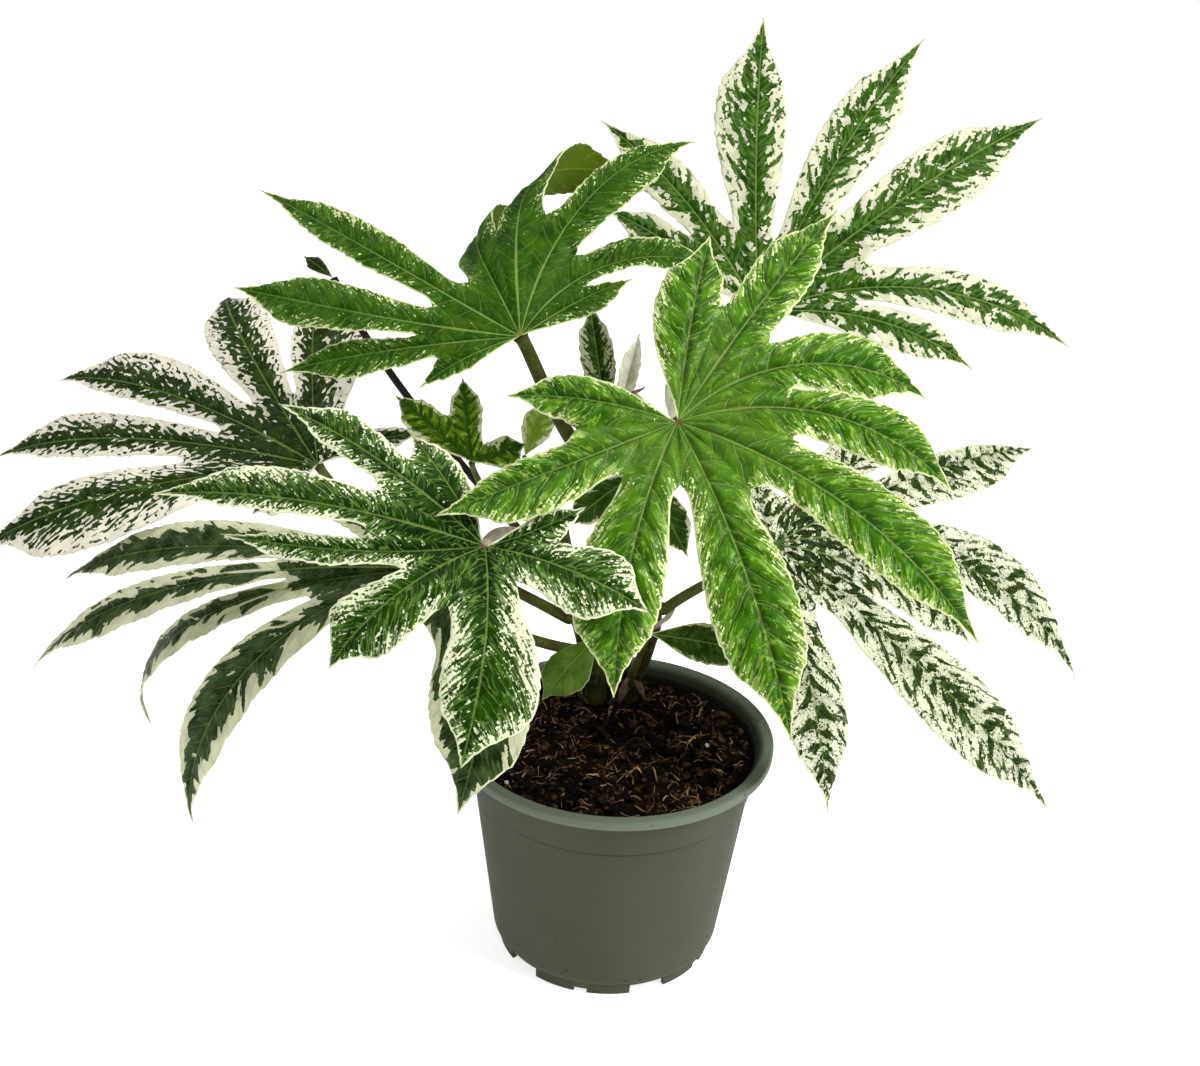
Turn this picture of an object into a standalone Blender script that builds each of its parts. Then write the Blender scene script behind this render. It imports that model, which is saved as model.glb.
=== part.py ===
"""Variegated fatsia in a plastic nursery pot.

Everything is placed from the middle of the pot's foot: +Z up, and the plant's front towards -Y.
Lengths are in metres, except in the tables of stems and leaves, which are in millimetres.
"""

import math
import random
from collections import namedtuple

import bmesh
import bpy
from mathutils import Matrix, Vector, noise

MM = 0.001

# Where the pot stands, so that the frame's origin is under the middle of the whole plant.
POT_PLACE = (0.0592, -0.0344, 0.0)

# Pot
RIM_RADIUS = 0.0950
POT_HEIGHT = 0.1416
LIP_DEPTH = 0.0062
LIP_ROUND = 0.0020
LIP_INNER_RADIUS = 0.0872
WALL_TOP_RADIUS = 0.0846
WALL_FOOT_RADIUS = 0.0690
WALL = 0.0016
STEP_HEIGHT = 0.1150
STEP_INSET = 0.0004
FOOT_RADIUS = 0.0652
FOOT_RING = 0.0034
FOOT_HEIGHT = 0.0086
HEEL_ROUND = 0.0024
FLOOR_HEIGHT = 0.0066
FLOOR_RADIUS = 0.0655
FOOT_GAPS = 5
GAP_TURN = math.radians(25.0 - 90.0)
WIDE_GAP = 0.0220
WIDE_GAP_HEIGHT = 0.0060
NARROW_GAP = 0.0080
NARROW_GAP_HEIGHT = 0.0030
DRAIN_RADIUS = 0.0040
DRAIN_CIRCLE = 0.0500
DRAIN_SIDES = 12
POT_STEPS = 44
POT_COLOUR = (0.100, 0.107, 0.078)
POT_ROUGHNESS = 0.5

# Soil
CLEARANCE = 0.0003
SOIL_TOP = 0.1300
SOIL_RELIEF = 0.0026
COARSE_CRUMBS = 45.0
FINE_CRUMBS = 120.0
FINE_SHARE = 0.6
WALL_CALM = 0.008
STEM_CALM = 0.010
SOIL_RINGS = 6
SOIL_STEPS = 32
SOIL_COLOUR = (0.020, 0.011, 0.006)
SOIL_ROUGHNESS = 0.95
HOLE_DEPTH = 0.060
HOLE_SIDES = 16
STRANDS = 16
STRAND_SIDES = 4
STRAND_RADIUS = 0.0011
STRAND_LENGTHS = (0.012, 0.024)
STRAND_TILT = 0.12
STRAND_SPREAD = 0.86
STRAND_STEM_GAP = 0.024
STRAND_SEED = 5

# Blades and stalks
BLADE = 0.0008
WEB_ROWS = 3
LOBE_ROWS = 8
NOTCH_ROUND = 0.010
EDGE_GAP = 0.0016
TOOTH = 0.05
STALK_FOOT = 1.3
STALK_POINTS = 9
STALK_LEAVE = 0.6
STALK_REACH = 0.3
STALK_RISE = 0.9
STALK_TIP_ROOM = 0.72
STEM_POINTS = 14
RIB_STEPS = 40
BEND_POWER = 1.5
WIDEST = 0.58
TIP_POWER = 1.05
BLADE_ROUGHNESS = 0.4
STALK_ROUGHNESS = 0.5
BARK_ROUGHNESS = 0.6

# A lobe's bearing and sweep are degrees anticlockwise in the leaf's own plane, and its length is
# in millimetres. It leaves the hub by its rise and bends down by its droop towards the tip, about
# a line that is turned from straight across it by its skew. Its widths are its widest left and
# right halves over its length.
Lobe = namedtuple("Lobe", "bearing length droop sweep rise widths skew", defaults=(0,))

# A leaf's hub is in millimetres from the middle of the pot's foot. Its stalk leaves its stem at a
# height, and thick is the stalk's radius under the leaf. Its face leans by lean degrees
# towards a compass bearing, and its lobes' bearings count from its heading. Its notches are the
# distances from the hub at which neighbouring lobes part, and its edges drop by fold times their
# distance from the middle vein.
Leaf = namedtuple("Leaf", "name hub lean toward heading stem height thick lobes notches fold")

STEMS = {
    "stem_left": {
        "points": [
            (-12, 53, 117), (-12, 53, 132), (-13, 53, 145), (-17, 52, 165), (-24, 50, 189), (-38, 48, 250),
        ],
        "radii": (7.2, 5.0),
        "colour": (0.080, 0.100, 0.030),
    },
    "stem_right": {
        "points": [
            (8, 55, 117), (8, 55, 132), (10, 54, 145), (18, 52, 172), (21, 50, 200), (7, 50, 265),
            (-10, 50, 314),
        ],
        "radii": (5.4, 3.6),
        "colour": (0.070, 0.055, 0.030),
    },
}

LEAVES = [
    Leaf("leaf_top", (-62, 20, 379), 42, -90, 95, "stem_right", 276, 3.8, [
        Lobe(-56, 74, 20, -8, 5, (0.07, 0.14)),
        Lobe(-32, 138, 35, -70, 5, (0.11, 0.065)),
        Lobe(-14, 177, 45, -50, 15, (0.055, 0.105)),
        Lobe(3, 188, 190, -6, 22, (0.118, 0.118), -42),
        Lobe(25, 150, 200, 0, 16, (0.13, 0.13), -34),
        Lobe(61, 182, 30, -12, 10, (0.055, 0.08)),
        Lobe(87, 170, 30, -24, 8, (0.12, 0.125)),
        Lobe(97, 137, 30, -6, 5, (0.10, 0.10)),
        Lobe(110, 64, 25, 12, 5, (0.10, 0.10)),
    ], [48, 59, 75, 70, 45, 52, 57, 48], 0.10),
    Leaf("leaf_back", (73, 100, 372), 60, -90, 50, "stem_right", 264, 2.8, [
        Lobe(-40, 138, 30, -42, 5, (0.095, 0.10)),
        Lobe(-25, 200, 30, -55, 5, (0.07, 0.085)),
        Lobe(-5, 212, 20, -14, 5, (0.10, 0.115)),
        Lobe(20, 196, 15, -16, 5, (0.095, 0.105)),
        Lobe(46, 181, 15, -9, 5, (0.155, 0.10)),
        Lobe(70, 153, 20, 22, 5, (0.115, 0.095)),
        Lobe(90, 113, 20, 15, 5, (0.115, 0.115)),
    ], [57, 73, 75, 45, 58, 62], 0.08),
    Leaf("leaf_front", (25, -50, 361), 45, -90, -40, "stem_right", 306, 2.8, [
        Lobe(-155, 92, 20, 15, 5, (0.145, 0.145)),
        Lobe(-111, 136, 16, -8, 6, (0.155, 0.09)),
        Lobe(-71, 152, 45, 22, 5, (0.135, 0.19)),
        Lobe(-22, 178, 30, -13, 5, (0.127, 0.146)),
        Lobe(22, 199, 35, -30, 5, (0.135, 0.09)),
        Lobe(61, 160, 35, -60, 5, (0.15, 0.11)),
        Lobe(87, 150, 35, -70, 5, (0.145, 0.145)),
        Lobe(100, 152, 10, -5, 5, (0.125, 0.105)),
        Lobe(127, 110, 10, -8, 5, (0.19, 0.145)),
    ], [56, 45, 39, 57, 63, 65, 68, 71], 0.12),
    Leaf("leaf_low_front", (-70, -100, 308), 38, -90, -145, "stem_left", 226, 3.2, [
        Lobe(-94, 82, 25, 6, 5, (0.13, 0.13)),
        Lobe(-76, 144, 20, 12, 5, (0.07, 0.125)),
        Lobe(-50, 183, 25, 12, 5, (0.05, 0.11)),
        Lobe(-24, 144, 20, -30, 0, (0.06, 0.06)),
        Lobe(-6, 104, 45, 22, 5, (0.22, 0.28)),
        Lobe(66, 118, 45, -28, 5, (0.28, 0.18)),
        Lobe(133, 92, 12, -21, 9, (0.25, 0.25)),
        Lobe(160, 58, 20, 27, 5, (0.13, 0.13)),
    ], [66, 65, 61, 45, 44, 32, 40], 0.10),
    Leaf("leaf_left", (-181, 50, 283), 35, -110, -180, "stem_left", 192, 2.8, [
        Lobe(-153, 67, 20, -27, 5, (0.115, 0.115)),
        Lobe(-82, 140, 20, -6, 5, (0.12, 0.24)),
        Lobe(-59, 222, 50, -8, 5, (0.10, 0.11)),
        Lobe(-35, 230, 40, 10, 8, (0.05, 0.123)),
        Lobe(-16, 242, 40, 4, 8, (0.055, 0.13)),
        Lobe(3, 231, 40, 0, 8, (0.15, 0.117)),
        Lobe(30, 50, 40, 0, 5, (0.30, 0.30)),
    ], [35, 55, 66, 67, 83, 36], 0.10),
    Leaf("leaf_low_left", (-103, -30, 259), 30, -110, -160, "stem_left", 172, 2.8, [
        Lobe(-62, 110, 30, 0, 5, (0.10, 0.10)),
        Lobe(-31, 262, 50, -2, 9, (0.068, 0.078)),
        Lobe(-22.5, 282, 58, 5, 9, (0.065, 0.05)),
        Lobe(-18, 284, 93, -4, 4, (0.045, 0.045)),
        Lobe(-4, 230, 85, 38, 8, (0.072, 0.10)),
        Lobe(112, 152, 50, -82, 0, (0.18, 0.20)),
    ], [50, 90, 85, 72, 46], 0.10),
    Leaf("leaf_right", (87, 20, 261), 40, -60, -35, "stem_right", 200, 2.7, [
        Lobe(-36, 160, 40, 10, 5, (0.14, 0.12)),
        Lobe(6, 232, 35, 8, 5, (0.13, 0.112)),
        Lobe(42, 150, 40, -21, 5, (0.12, 0.12)),
        Lobe(63, 236, 35, -58, 5, (0.135, 0.09)),
        Lobe(79, 240, 30, -9, 5, (0.04, 0.095)),
        Lobe(98, 150, 25, -16, 5, (0.12, 0.12)),
        Lobe(160, 64, 20, -27, 5, (0.12, 0.12)),
    ], [46, 68, 75, 86, 70, 35], 0.10),
    Leaf("leaf_inner", (7, 0, 311), 50, -90, -90, "stem_right", 288, 1.8, [
        Lobe(-50, 52, 30, 0, 5, (0.20, 0.20)),
        Lobe(3, 44, 40, 0, 5, (0.20, 0.20)),
        Lobe(32, 56, 30, 0, 5, (0.20, 0.20)),
    ], [24, 26], 0.10),
    Leaf("leaf_young_left", (-88, 20, 302), 45, -90, 110, "stem_left", 238, 1.7, [
        Lobe(-84, 34, 30, 0, 5, (0.30, 0.30)),
        Lobe(-10, 55, 20, 0, 5, (0.17, 0.17)),
        Lobe(29, 64, 25, 0, 5, (0.17, 0.17)),
    ], [16, 34], 0.20),
    Leaf("leaf_young_pale", (-60, 50, 294), 60, -90, 70, "stem_left", 245, 1.4, [
        Lobe(1, 36, 10, 0, 5, (0.26, 0.26)),
    ], [], 0.30),
    Leaf("leaf_young_far", (-173, 70, 391), 40, -90, 150, "stem_left", 222, 2.1, [
        Lobe(-8, 24, 20, 0, 5, (0.17, 0.17)),
    ], [], 0.10),
    Leaf("leaf_shoot", (-12.0, 49, 314.0), 70, -90, 101, None, 0, 0, [
        Lobe(0, 75, 5, 0, 0, (0.13, 0.13)),
    ], [], -0.35),
    Leaf("leaf_shoot_small", (-8.2, 52, 315.3), 80, -90, 78, None, 0, 0, [
        Lobe(0, 56, 5, 0, 0, (0.10, 0.10)),
    ], [], -0.40),
    Leaf("leaf_base_left", (-12, 24, 193), 35, -120, -130, "stem_left", 148, 1.5, [
        Lobe(-6, 51, 20, 0, 4, (0.30, 0.30)),
    ], [], 0.15),
    Leaf("leaf_base_right", (17, 30, 193), 40, -90, -10, "stem_right", 146, 1.5, [
        Lobe(2, 66, 22, 0, 8, (0.20, 0.20)),
    ], [], 0.15),
]

# Mean colour of each blade, with its cream and green taken together.
LEAF_COLOURS = {
    "leaf_top": (0.088, 0.176, 0.045),
    "leaf_back": (0.330, 0.380, 0.220),
    "leaf_front": (0.140, 0.290, 0.045),
    "leaf_low_front": (0.165, 0.250, 0.105),
    "leaf_left": (0.290, 0.320, 0.205),
    "leaf_low_left": (0.130, 0.165, 0.115),
    "leaf_right": (0.330, 0.365, 0.245),
    "leaf_inner": (0.060, 0.110, 0.035),
    "leaf_young_left": (0.200, 0.240, 0.070),
    "leaf_young_pale": (0.300, 0.320, 0.170),
    "leaf_young_far": (0.030, 0.045, 0.025),
    "leaf_shoot": (0.130, 0.150, 0.080),
    "leaf_shoot_small": (0.400, 0.370, 0.260),
    "leaf_base_left": (0.085, 0.120, 0.060),
    "leaf_base_right": (0.065, 0.095, 0.040),
}

# Colour of the stalks that differ from the usual one.
STALK_COLOUR = (0.130, 0.140, 0.055)
STALK_COLOURS = {
    "leaf_top": (0.085, 0.085, 0.030),
    "leaf_low_front": (0.330, 0.290, 0.230),
    "leaf_young_far": (0.022, 0.017, 0.015),
}

# The two inner points of a stalk's curve, where it does not go straight to its leaf.
STALK_BENDS = {
    "leaf_top": [(-36, 38, 298), (-52, 26, 360)],
    "leaf_low_front": [(-47, 12, 262), (-68, -62, 306)],
    "leaf_young_far": [(-100, 72, 276), (-150, 74, 337)],
}


def clear_scene():
    """Removes whatever the scene holds."""
    for old in list(bpy.data.objects):
        bpy.data.objects.remove(old, do_unlink=True)


def new_collection(name):
    """Makes a collection in the scene."""
    group = bpy.data.collections.new(name)
    bpy.context.scene.collection.children.link(group)
    return group


def material(name, colour, roughness):
    """Makes a plain material with one colour."""
    made = bpy.data.materials.new(name)
    made.use_nodes = True
    shader = made.node_tree.nodes["Principled BSDF"]
    shader.inputs["Base Color"].default_value = (*colour, 1.0)
    shader.inputs["Roughness"].default_value = roughness
    shader.inputs["Metallic"].default_value = 0.0
    return made


def add_object(name, data, group, finish=None):
    """Adds an object that shows a mesh or curve."""
    made = bpy.data.objects.new(name, data)
    group.objects.link(made)
    if finish:
        made.data.materials.append(finish)
    return made


def turned(name, profile, steps, group, finish):
    """Makes a body turned about Z from (radius, height) points, up its inner side and down its outer."""
    mesh = bpy.data.meshes.new(name)
    shape = bmesh.new()
    points = [shape.verts.new((radius, 0.0, height)) for radius, height in profile]
    for start, end in zip(points, points[1:]):
        shape.edges.new((start, end))
    shape.to_mesh(mesh)
    shape.free()
    made = add_object(name, mesh, group, finish)
    screw = made.modifiers.new("turn", "SCREW")
    screw.steps = steps
    screw.render_steps = steps
    screw.use_merge_vertices = True
    screw.merge_threshold = 0.00001
    return made


def tube(name, points, radii, group, finish):
    """Makes a closed tube through points, with one radius at each."""
    curve = bpy.data.curves.new(name, "CURVE")
    curve.dimensions = "3D"
    curve.bevel_depth = 1.0
    curve.bevel_resolution = 2
    curve.use_fill_caps = True
    line = curve.splines.new("POLY")
    line.points.add(len(points) - 1)
    for slot, point, radius in zip(line.points, points, radii):
        slot.co = (*point, 1.0)
        slot.radius = radius
    add_object(name, curve, group, finish)


def combine(target, tools, operation):
    """Takes a collection's bodies out of a body, or joins them to it."""
    boolean = target.modifiers.new(tools.name, "BOOLEAN")
    boolean.operation = operation
    boolean.solver = "EXACT"
    boolean.operand_type = "COLLECTION"
    boolean.collection = tools


def add_cutter(name, mesh, group, place):
    """Adds a cutter, drawn as wire and left out of the model."""
    made = add_object(name, mesh, group)
    made.matrix_world = place
    made.hide_render = True
    made.display_type = "WIRE"
    return made


def box_mesh(name, size):
    """Makes a box centred on its own origin."""
    mesh = bpy.data.meshes.new(name)
    shape = bmesh.new()
    bmesh.ops.create_cube(shape, size=1.0, matrix=Matrix.Diagonal((*size, 1.0)))
    shape.to_mesh(mesh)
    shape.free()
    return mesh


def rod_mesh(name, radius, length, sides):
    """Makes a straight rod along Z, centred on its own origin."""
    mesh = bpy.data.meshes.new(name)
    shape = bmesh.new()
    bmesh.ops.create_cone(
        shape, cap_ends=True, segments=sides, radius1=radius, radius2=radius, depth=length
    )
    shape.to_mesh(mesh)
    shape.free()
    return mesh


def inner_radius(height):
    """The pot's inside radius at a height, between its floor and its lip."""
    floor = FLOOR_HEIGHT + WALL
    share = (height - floor) / (POT_HEIGHT - LIP_DEPTH - floor)
    return FLOOR_RADIUS + (WALL_TOP_RADIUS - WALL - FLOOR_RADIUS) * share


def build_pot(group, cutters):
    """The pot: thin tapered wall, rolled lip, a faint step under it, and a foot ring with gaps."""
    floor = FLOOR_HEIGHT + WALL
    wall_top = POT_HEIGHT - LIP_DEPTH
    slope = (WALL_TOP_RADIUS - WALL_FOOT_RADIUS) / (wall_top - FOOT_HEIGHT)
    step_radius = WALL_FOOT_RADIUS + slope * (STEP_HEIGHT - FOOT_HEIGHT)
    profile = [
        (0.0, floor),
        (inner_radius(floor), floor),
        (inner_radius(wall_top), wall_top),
        (LIP_INNER_RADIUS - 0.6 * LIP_ROUND, POT_HEIGHT - 0.8 * LIP_ROUND),
        (LIP_INNER_RADIUS, POT_HEIGHT - 0.2 * LIP_ROUND),
        (LIP_INNER_RADIUS + 0.7 * LIP_ROUND, POT_HEIGHT),
        (RIM_RADIUS - 0.8 * LIP_ROUND, POT_HEIGHT),
        (RIM_RADIUS - 0.15 * LIP_ROUND, POT_HEIGHT - 0.4 * LIP_ROUND),
        (RIM_RADIUS, POT_HEIGHT - LIP_ROUND),
        (RIM_RADIUS - 0.4 * LIP_ROUND, wall_top + 0.3 * LIP_ROUND),
        (RIM_RADIUS - 1.1 * LIP_ROUND, wall_top),
        (WALL_TOP_RADIUS, wall_top - 0.3 * LIP_ROUND),
        (step_radius, STEP_HEIGHT),
        (step_radius - STEP_INSET, STEP_HEIGHT - STEP_INSET),
        (WALL_FOOT_RADIUS + 0.2 * HEEL_ROUND, FOOT_HEIGHT + 2.0 * HEEL_ROUND),
        (WALL_FOOT_RADIUS - 0.25 * HEEL_ROUND, FOOT_HEIGHT + 0.75 * HEEL_ROUND),
        (WALL_FOOT_RADIUS - HEEL_ROUND, FOOT_HEIGHT),
        (FOOT_RADIUS, FOOT_HEIGHT - 0.25 * HEEL_ROUND),
        (FOOT_RADIUS - STEP_INSET, 0.0),
        (FOOT_RADIUS - FOOT_RING, 0.0),
        (FOOT_RADIUS - FOOT_RING, FLOOR_HEIGHT),
        (0.0, FLOOR_HEIGHT),
    ]
    finish = material("pot_plastic", POT_COLOUR, POT_ROUGHNESS)
    pot = turned("pot", profile, POT_STEPS, group, finish)
    reach = 2.4 * FOOT_RING
    turn = math.tau / FOOT_GAPS
    for k in range(FOOT_GAPS):
        for label, offset, width, height in (
            ("wide", 0.0, WIDE_GAP, WIDE_GAP_HEIGHT),
            ("narrow", 0.5 * turn, NARROW_GAP, NARROW_GAP_HEIGHT),
        ):
            angle = GAP_TURN + k * turn + offset
            mesh = box_mesh(f"{label}_gap_{k}", (reach, width, 2.0 * height))
            place = Matrix.Rotation(angle, 4, "Z") @ Matrix.Translation(
                (FOOT_RADIUS - 0.5 * FOOT_RING, 0.0, 0.0)
            )
            add_cutter(f"{label}_gap_{k}", mesh, cutters, place)
        angle = GAP_TURN + k * turn
        mesh = rod_mesh(f"drain_{k}", DRAIN_RADIUS, 6.0 * WALL, DRAIN_SIDES)
        place = Matrix.Rotation(angle, 4, "Z") @ Matrix.Translation(
            (DRAIN_CIRCLE, 0.0, FLOOR_HEIGHT + 0.5 * WALL)
        )
        add_cutter(f"drain_{k}", mesh, cutters, place)
    combine(pot, cutters, "DIFFERENCE")


def soil_height(x, y):
    """Height of the crumbly top of the soil, flat at the wall and round the stems."""
    radius = math.hypot(x, y)
    calm = min(1.0, (inner_radius(SOIL_TOP) - radius) / WALL_CALM)
    for stem in STEMS.values():
        foot = stem["points"][0]
        away = math.hypot(x - foot[0] * MM, y - foot[1] * MM)
        calm = min(calm, (away - STEM_CALM) / STEM_CALM)
    coarse = noise.noise(Vector((x, y, 0.0)) * COARSE_CRUMBS)
    fine = noise.noise(Vector((x, y, 1.0)) * FINE_CRUMBS)
    return SOIL_TOP + SOIL_RELIEF * max(0.0, calm) * (coarse + FINE_SHARE * fine)


def mesh_from(made):
    """Replaces a curve or a body with modifiers by a plain mesh of the same shape."""
    shown = made.evaluated_get(bpy.context.evaluated_depsgraph_get())
    mesh = bpy.data.meshes.new_from_object(shown)
    shape = bmesh.new()
    shape.from_mesh(mesh)
    bmesh.ops.remove_doubles(shape, verts=shape.verts, dist=0.000001)
    shape.to_mesh(mesh)
    shape.free()
    return mesh


def build_soil(group, cutters):
    """The soil: fills the pot, crumbly on top, with coir strands in it and a hole for each stem."""
    floor = FLOOR_HEIGHT + WALL + CLEARANCE
    edge = inner_radius(SOIL_TOP) - CLEARANCE
    profile = [(edge * k / SOIL_RINGS, SOIL_TOP) for k in range(SOIL_RINGS + 1)]
    profile += [(inner_radius(floor) - CLEARANCE, floor), (0.0, floor)]
    finish = material("soil", SOIL_COLOUR, SOIL_ROUGHNESS)
    turned_soil = turned("soil_turned", profile, SOIL_STEPS, group, finish)
    mesh = mesh_from(turned_soil)
    bpy.data.objects.remove(turned_soil, do_unlink=True)
    for corner in mesh.vertices:
        on_top = corner.co.z > SOIL_TOP - 0.001
        if on_top and math.hypot(corner.co.x, corner.co.y) < edge - 0.001:
            corner.co.z = soil_height(corner.co.x, corner.co.y)
    soil = add_object("soil", mesh, group)
    strands = new_collection("strands")
    add_strands(strands, edge)
    combine(soil, strands, "UNION")
    joined = mesh_from(soil)
    soil.modifiers.clear()
    soil.data = joined
    for strand in list(strands.objects):
        bpy.data.objects.remove(strand, do_unlink=True)
    for name, stem in STEMS.items():
        foot = Vector(stem["points"][0]) * MM
        mesh = rod_mesh(f"{name}_hole", stem["radii"][0] * MM + CLEARANCE, HOLE_DEPTH, HOLE_SIDES)
        middle = foot.z - CLEARANCE + 0.5 * HOLE_DEPTH
        add_cutter(f"{name}_hole", mesh, cutters, Matrix.Translation((foot.x, foot.y, middle)))
    combine(soil, cutters, "DIFFERENCE")


def add_strands(group, edge):
    """Scatters coir strands over the soil, half sunk in it and clear of the stems."""
    draw = random.Random(STRAND_SEED)
    made = 0
    while made < STRANDS:
        radius = edge * math.sqrt(draw.uniform(0.0, STRAND_SPREAD**2))
        angle = draw.uniform(0.0, math.tau)
        turn = draw.uniform(0.0, math.tau)
        tilt = draw.uniform(-STRAND_TILT, STRAND_TILT)
        length = draw.uniform(*STRAND_LENGTHS)
        x = radius * math.cos(angle)
        y = radius * math.sin(angle)
        feet = [stem["points"][0] for stem in STEMS.values()]
        if min(math.hypot(x - foot[0] * MM, y - foot[1] * MM) for foot in feet) < STRAND_STEM_GAP:
            continue
        mesh = rod_mesh(f"strand_{made}", STRAND_RADIUS, length, STRAND_SIDES)
        place = (
            Matrix.Translation((x, y, soil_height(x, y) + 0.3 * STRAND_RADIUS))
            @ Matrix.Rotation(turn, 4, "Z")
            @ Matrix.Rotation(0.5 * math.pi + tilt, 4, "Y")
        )
        add_object(f"strand_{made}", mesh, group).matrix_world = place
        made += 1


def smooth_path(points, count):
    """Runs a smooth curve through a few points and returns count points along it."""
    ends = [2 * points[0] - points[1], *points, 2 * points[-1] - points[-2]]
    path = []
    for k in range(count):
        along = (len(points) - 1) * k / (count - 1)
        span = min(int(along), len(points) - 2)
        t = along - span
        a, b, c, d = ends[span:span + 4]
        curved = (2 * a - 5 * b + 4 * c - d) * t**2 + (3 * b - a - 3 * c + d) * t**3
        path.append(0.5 * (2 * b + (c - a) * t + curved))
    return path


def stem_path(stem, count):
    """Points along a stem's middle line, from its foot up."""
    return smooth_path([Vector(point) * MM for point in stem["points"]], count)


def build_stems(group):
    """The two stems, each standing in its own hole in the soil."""
    for name, stem in STEMS.items():
        path = stem_path(stem, STEM_POINTS)
        low, high = stem["radii"]
        radii = [(low + (high - low) * k / (STEM_POINTS - 1)) * MM for k in range(STEM_POINTS)]
        tube(name, path, radii, group, material(f"{name}_bark", stem["colour"], BARK_ROUGHNESS))


def leaf_frame(leaf):
    """Turns a leaf's own axes, with +Z out of its upper face, into the plant's."""
    toward = math.radians(leaf.toward)
    lean_axis = Vector((-math.sin(toward), math.cos(toward), 0.0))
    lean = Matrix.Rotation(math.radians(leaf.lean), 4, lean_axis)
    heading = Matrix.Rotation(math.radians(leaf.heading), 4, "Z")
    return Matrix.Translation(Vector(leaf.hub) * MM) @ lean @ heading


class Rib:
    """Middle vein of a lobe, in the leaf's own axes, as a line that can be read at any distance."""

    def __init__(self, lobe):
        self.lobe = lobe
        self.length = lobe.length * MM
        self.points = [Vector((0.0, 0.0, 0.0))]
        for k in range(RIB_STEPS):
            along = self.axes((k + 0.5) / RIB_STEPS)[0]
            self.points.append(self.points[-1] + self.length / RIB_STEPS * along)

    def axes(self, share):
        """The directions along the lobe, across it to its left, and out of its face."""
        bearing = math.radians(self.lobe.bearing + self.lobe.sweep * share)
        rise = math.radians(self.lobe.rise)
        skew = math.radians(self.lobe.skew)
        flat = Vector((math.cos(bearing), math.sin(bearing), 0.0))
        across = Vector((-flat.y, flat.x, 0.0))
        along = math.cos(rise) * flat + math.sin(rise) * Vector((0.0, 0.0, 1.0))
        hinge = math.cos(skew) * across + math.sin(skew) * along
        bend = Matrix.Rotation(math.radians(self.lobe.droop * share**BEND_POWER), 3, hinge)
        along = bend @ along
        across = bend @ across
        return along, across, along.cross(across)

    def at(self, distance):
        """The point at a distance from the hub."""
        place = max(0.0, min(distance / self.length, 1.0)) * RIB_STEPS
        index = min(int(place), RIB_STEPS - 1)
        return self.points[index].lerp(self.points[index + 1], place - index)

    def frame(self, distance):
        """The direction across the lobe, to its left, and out of its face, at a distance."""
        return self.axes(max(0.0, min(distance / self.length, 1.0)))[1:]


def outline(share):
    """A lobe's own half width at a share of its length, as a share of its widest."""
    if share <= 0.0 or share >= 1.0:
        return 0.0
    rise_power = TIP_POWER * WIDEST / (1.0 - WIDEST)
    return (share / WIDEST) ** rise_power * ((1.0 - share) / (1.0 - WIDEST)) ** TIP_POWER


def half_width(ribs, index, side, distance):
    """A lobe's half width at a distance from the hub, kept clear of the lobe beside it."""
    rib = ribs[index]
    left, right = rib.lobe.widths
    widest = (left if side > 0 else right) * rib.length
    own = widest * outline(distance / rib.length)
    beside = index + side
    if 0 <= beside < len(ribs):
        room = 0.5 * (rib.at(distance) - ribs[beside].at(distance)).length - 0.5 * EDGE_GAP
        room = max(room, 0.0005)
        own = (max(own, 0.000001) ** -4 + room**-4) ** -0.25
    return own


def edge_point(leaf, ribs, index, side, distance, notch):
    """A point of a lobe's edge beyond its notch, drawn in to the notch's own point near it."""
    rib = ribs[index]
    across, face = rib.frame(distance)
    width = half_width(ribs, index, side, distance)
    point = rib.at(distance) + width * (side * across - leaf.fold * face)
    if notch > 0.0:
        near = min(1.0, (distance - notch) / NOTCH_ROUND)
        pull = 1.0 - math.sqrt(max(0.0, 1.0 - (1.0 - near) ** 2))
        across, face = rib.frame(notch)
        width = half_width(ribs, index, side, notch)
        start = rib.at(notch) + width * (side * across - leaf.fold * face)
        point += pull * (0.5 * (rib.at(notch) + ribs[index + side].at(notch)) - start)
    return point


def add_half_lobe(shape, leaf, ribs, index, side):
    """Adds one side of a lobe, from its middle vein out to its toothed edge."""
    rib = ribs[index]
    gaps = [0.0, *[notch * MM for notch in leaf.notches], 0.0]
    own_notch = gaps[index + (side + 1) // 2]
    beside = [gap for gap in (gaps[index], gaps[index + 1]) if gap > 0.0]
    rib_web = sum(beside) / len(beside) if beside else 0.3 * rib.length
    rows = WEB_ROWS + LOBE_ROWS
    grid = bmesh.ops.create_grid(shape, x_segments=rows, y_segments=1, size=0.5)
    for corner in grid["verts"]:
        row = round((corner.co.x + 0.5) * rows)
        on_edge = (corner.co.y > 0.0) == (side > 0)
        web_share = min(1.0, row / WEB_ROWS)
        lobe_share = max(0.0, (row - WEB_ROWS) / LOBE_ROWS)
        rib_distance = rib_web * web_share + (rib.length - rib_web) * lobe_share
        if not on_edge:
            corner.co = rib.at(rib_distance)
        elif own_notch == 0.0:
            corner.co = edge_point(leaf, ribs, index, side, rib_distance, 0.0)
        elif row <= WEB_ROWS:
            distance = own_notch * web_share
            corner.co = 0.5 * (rib.at(distance) + ribs[index + side].at(distance))
        else:
            distance = own_notch + (rib.length - own_notch) * lobe_share
            corner.co = edge_point(leaf, ribs, index, side, distance, own_notch)
        if on_edge and WEB_ROWS < row < rows:
            tooth = TOOTH if row % 2 else -TOOTH
            corner.co = corner.co + tooth * (corner.co - rib.at(rib_distance))


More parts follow.
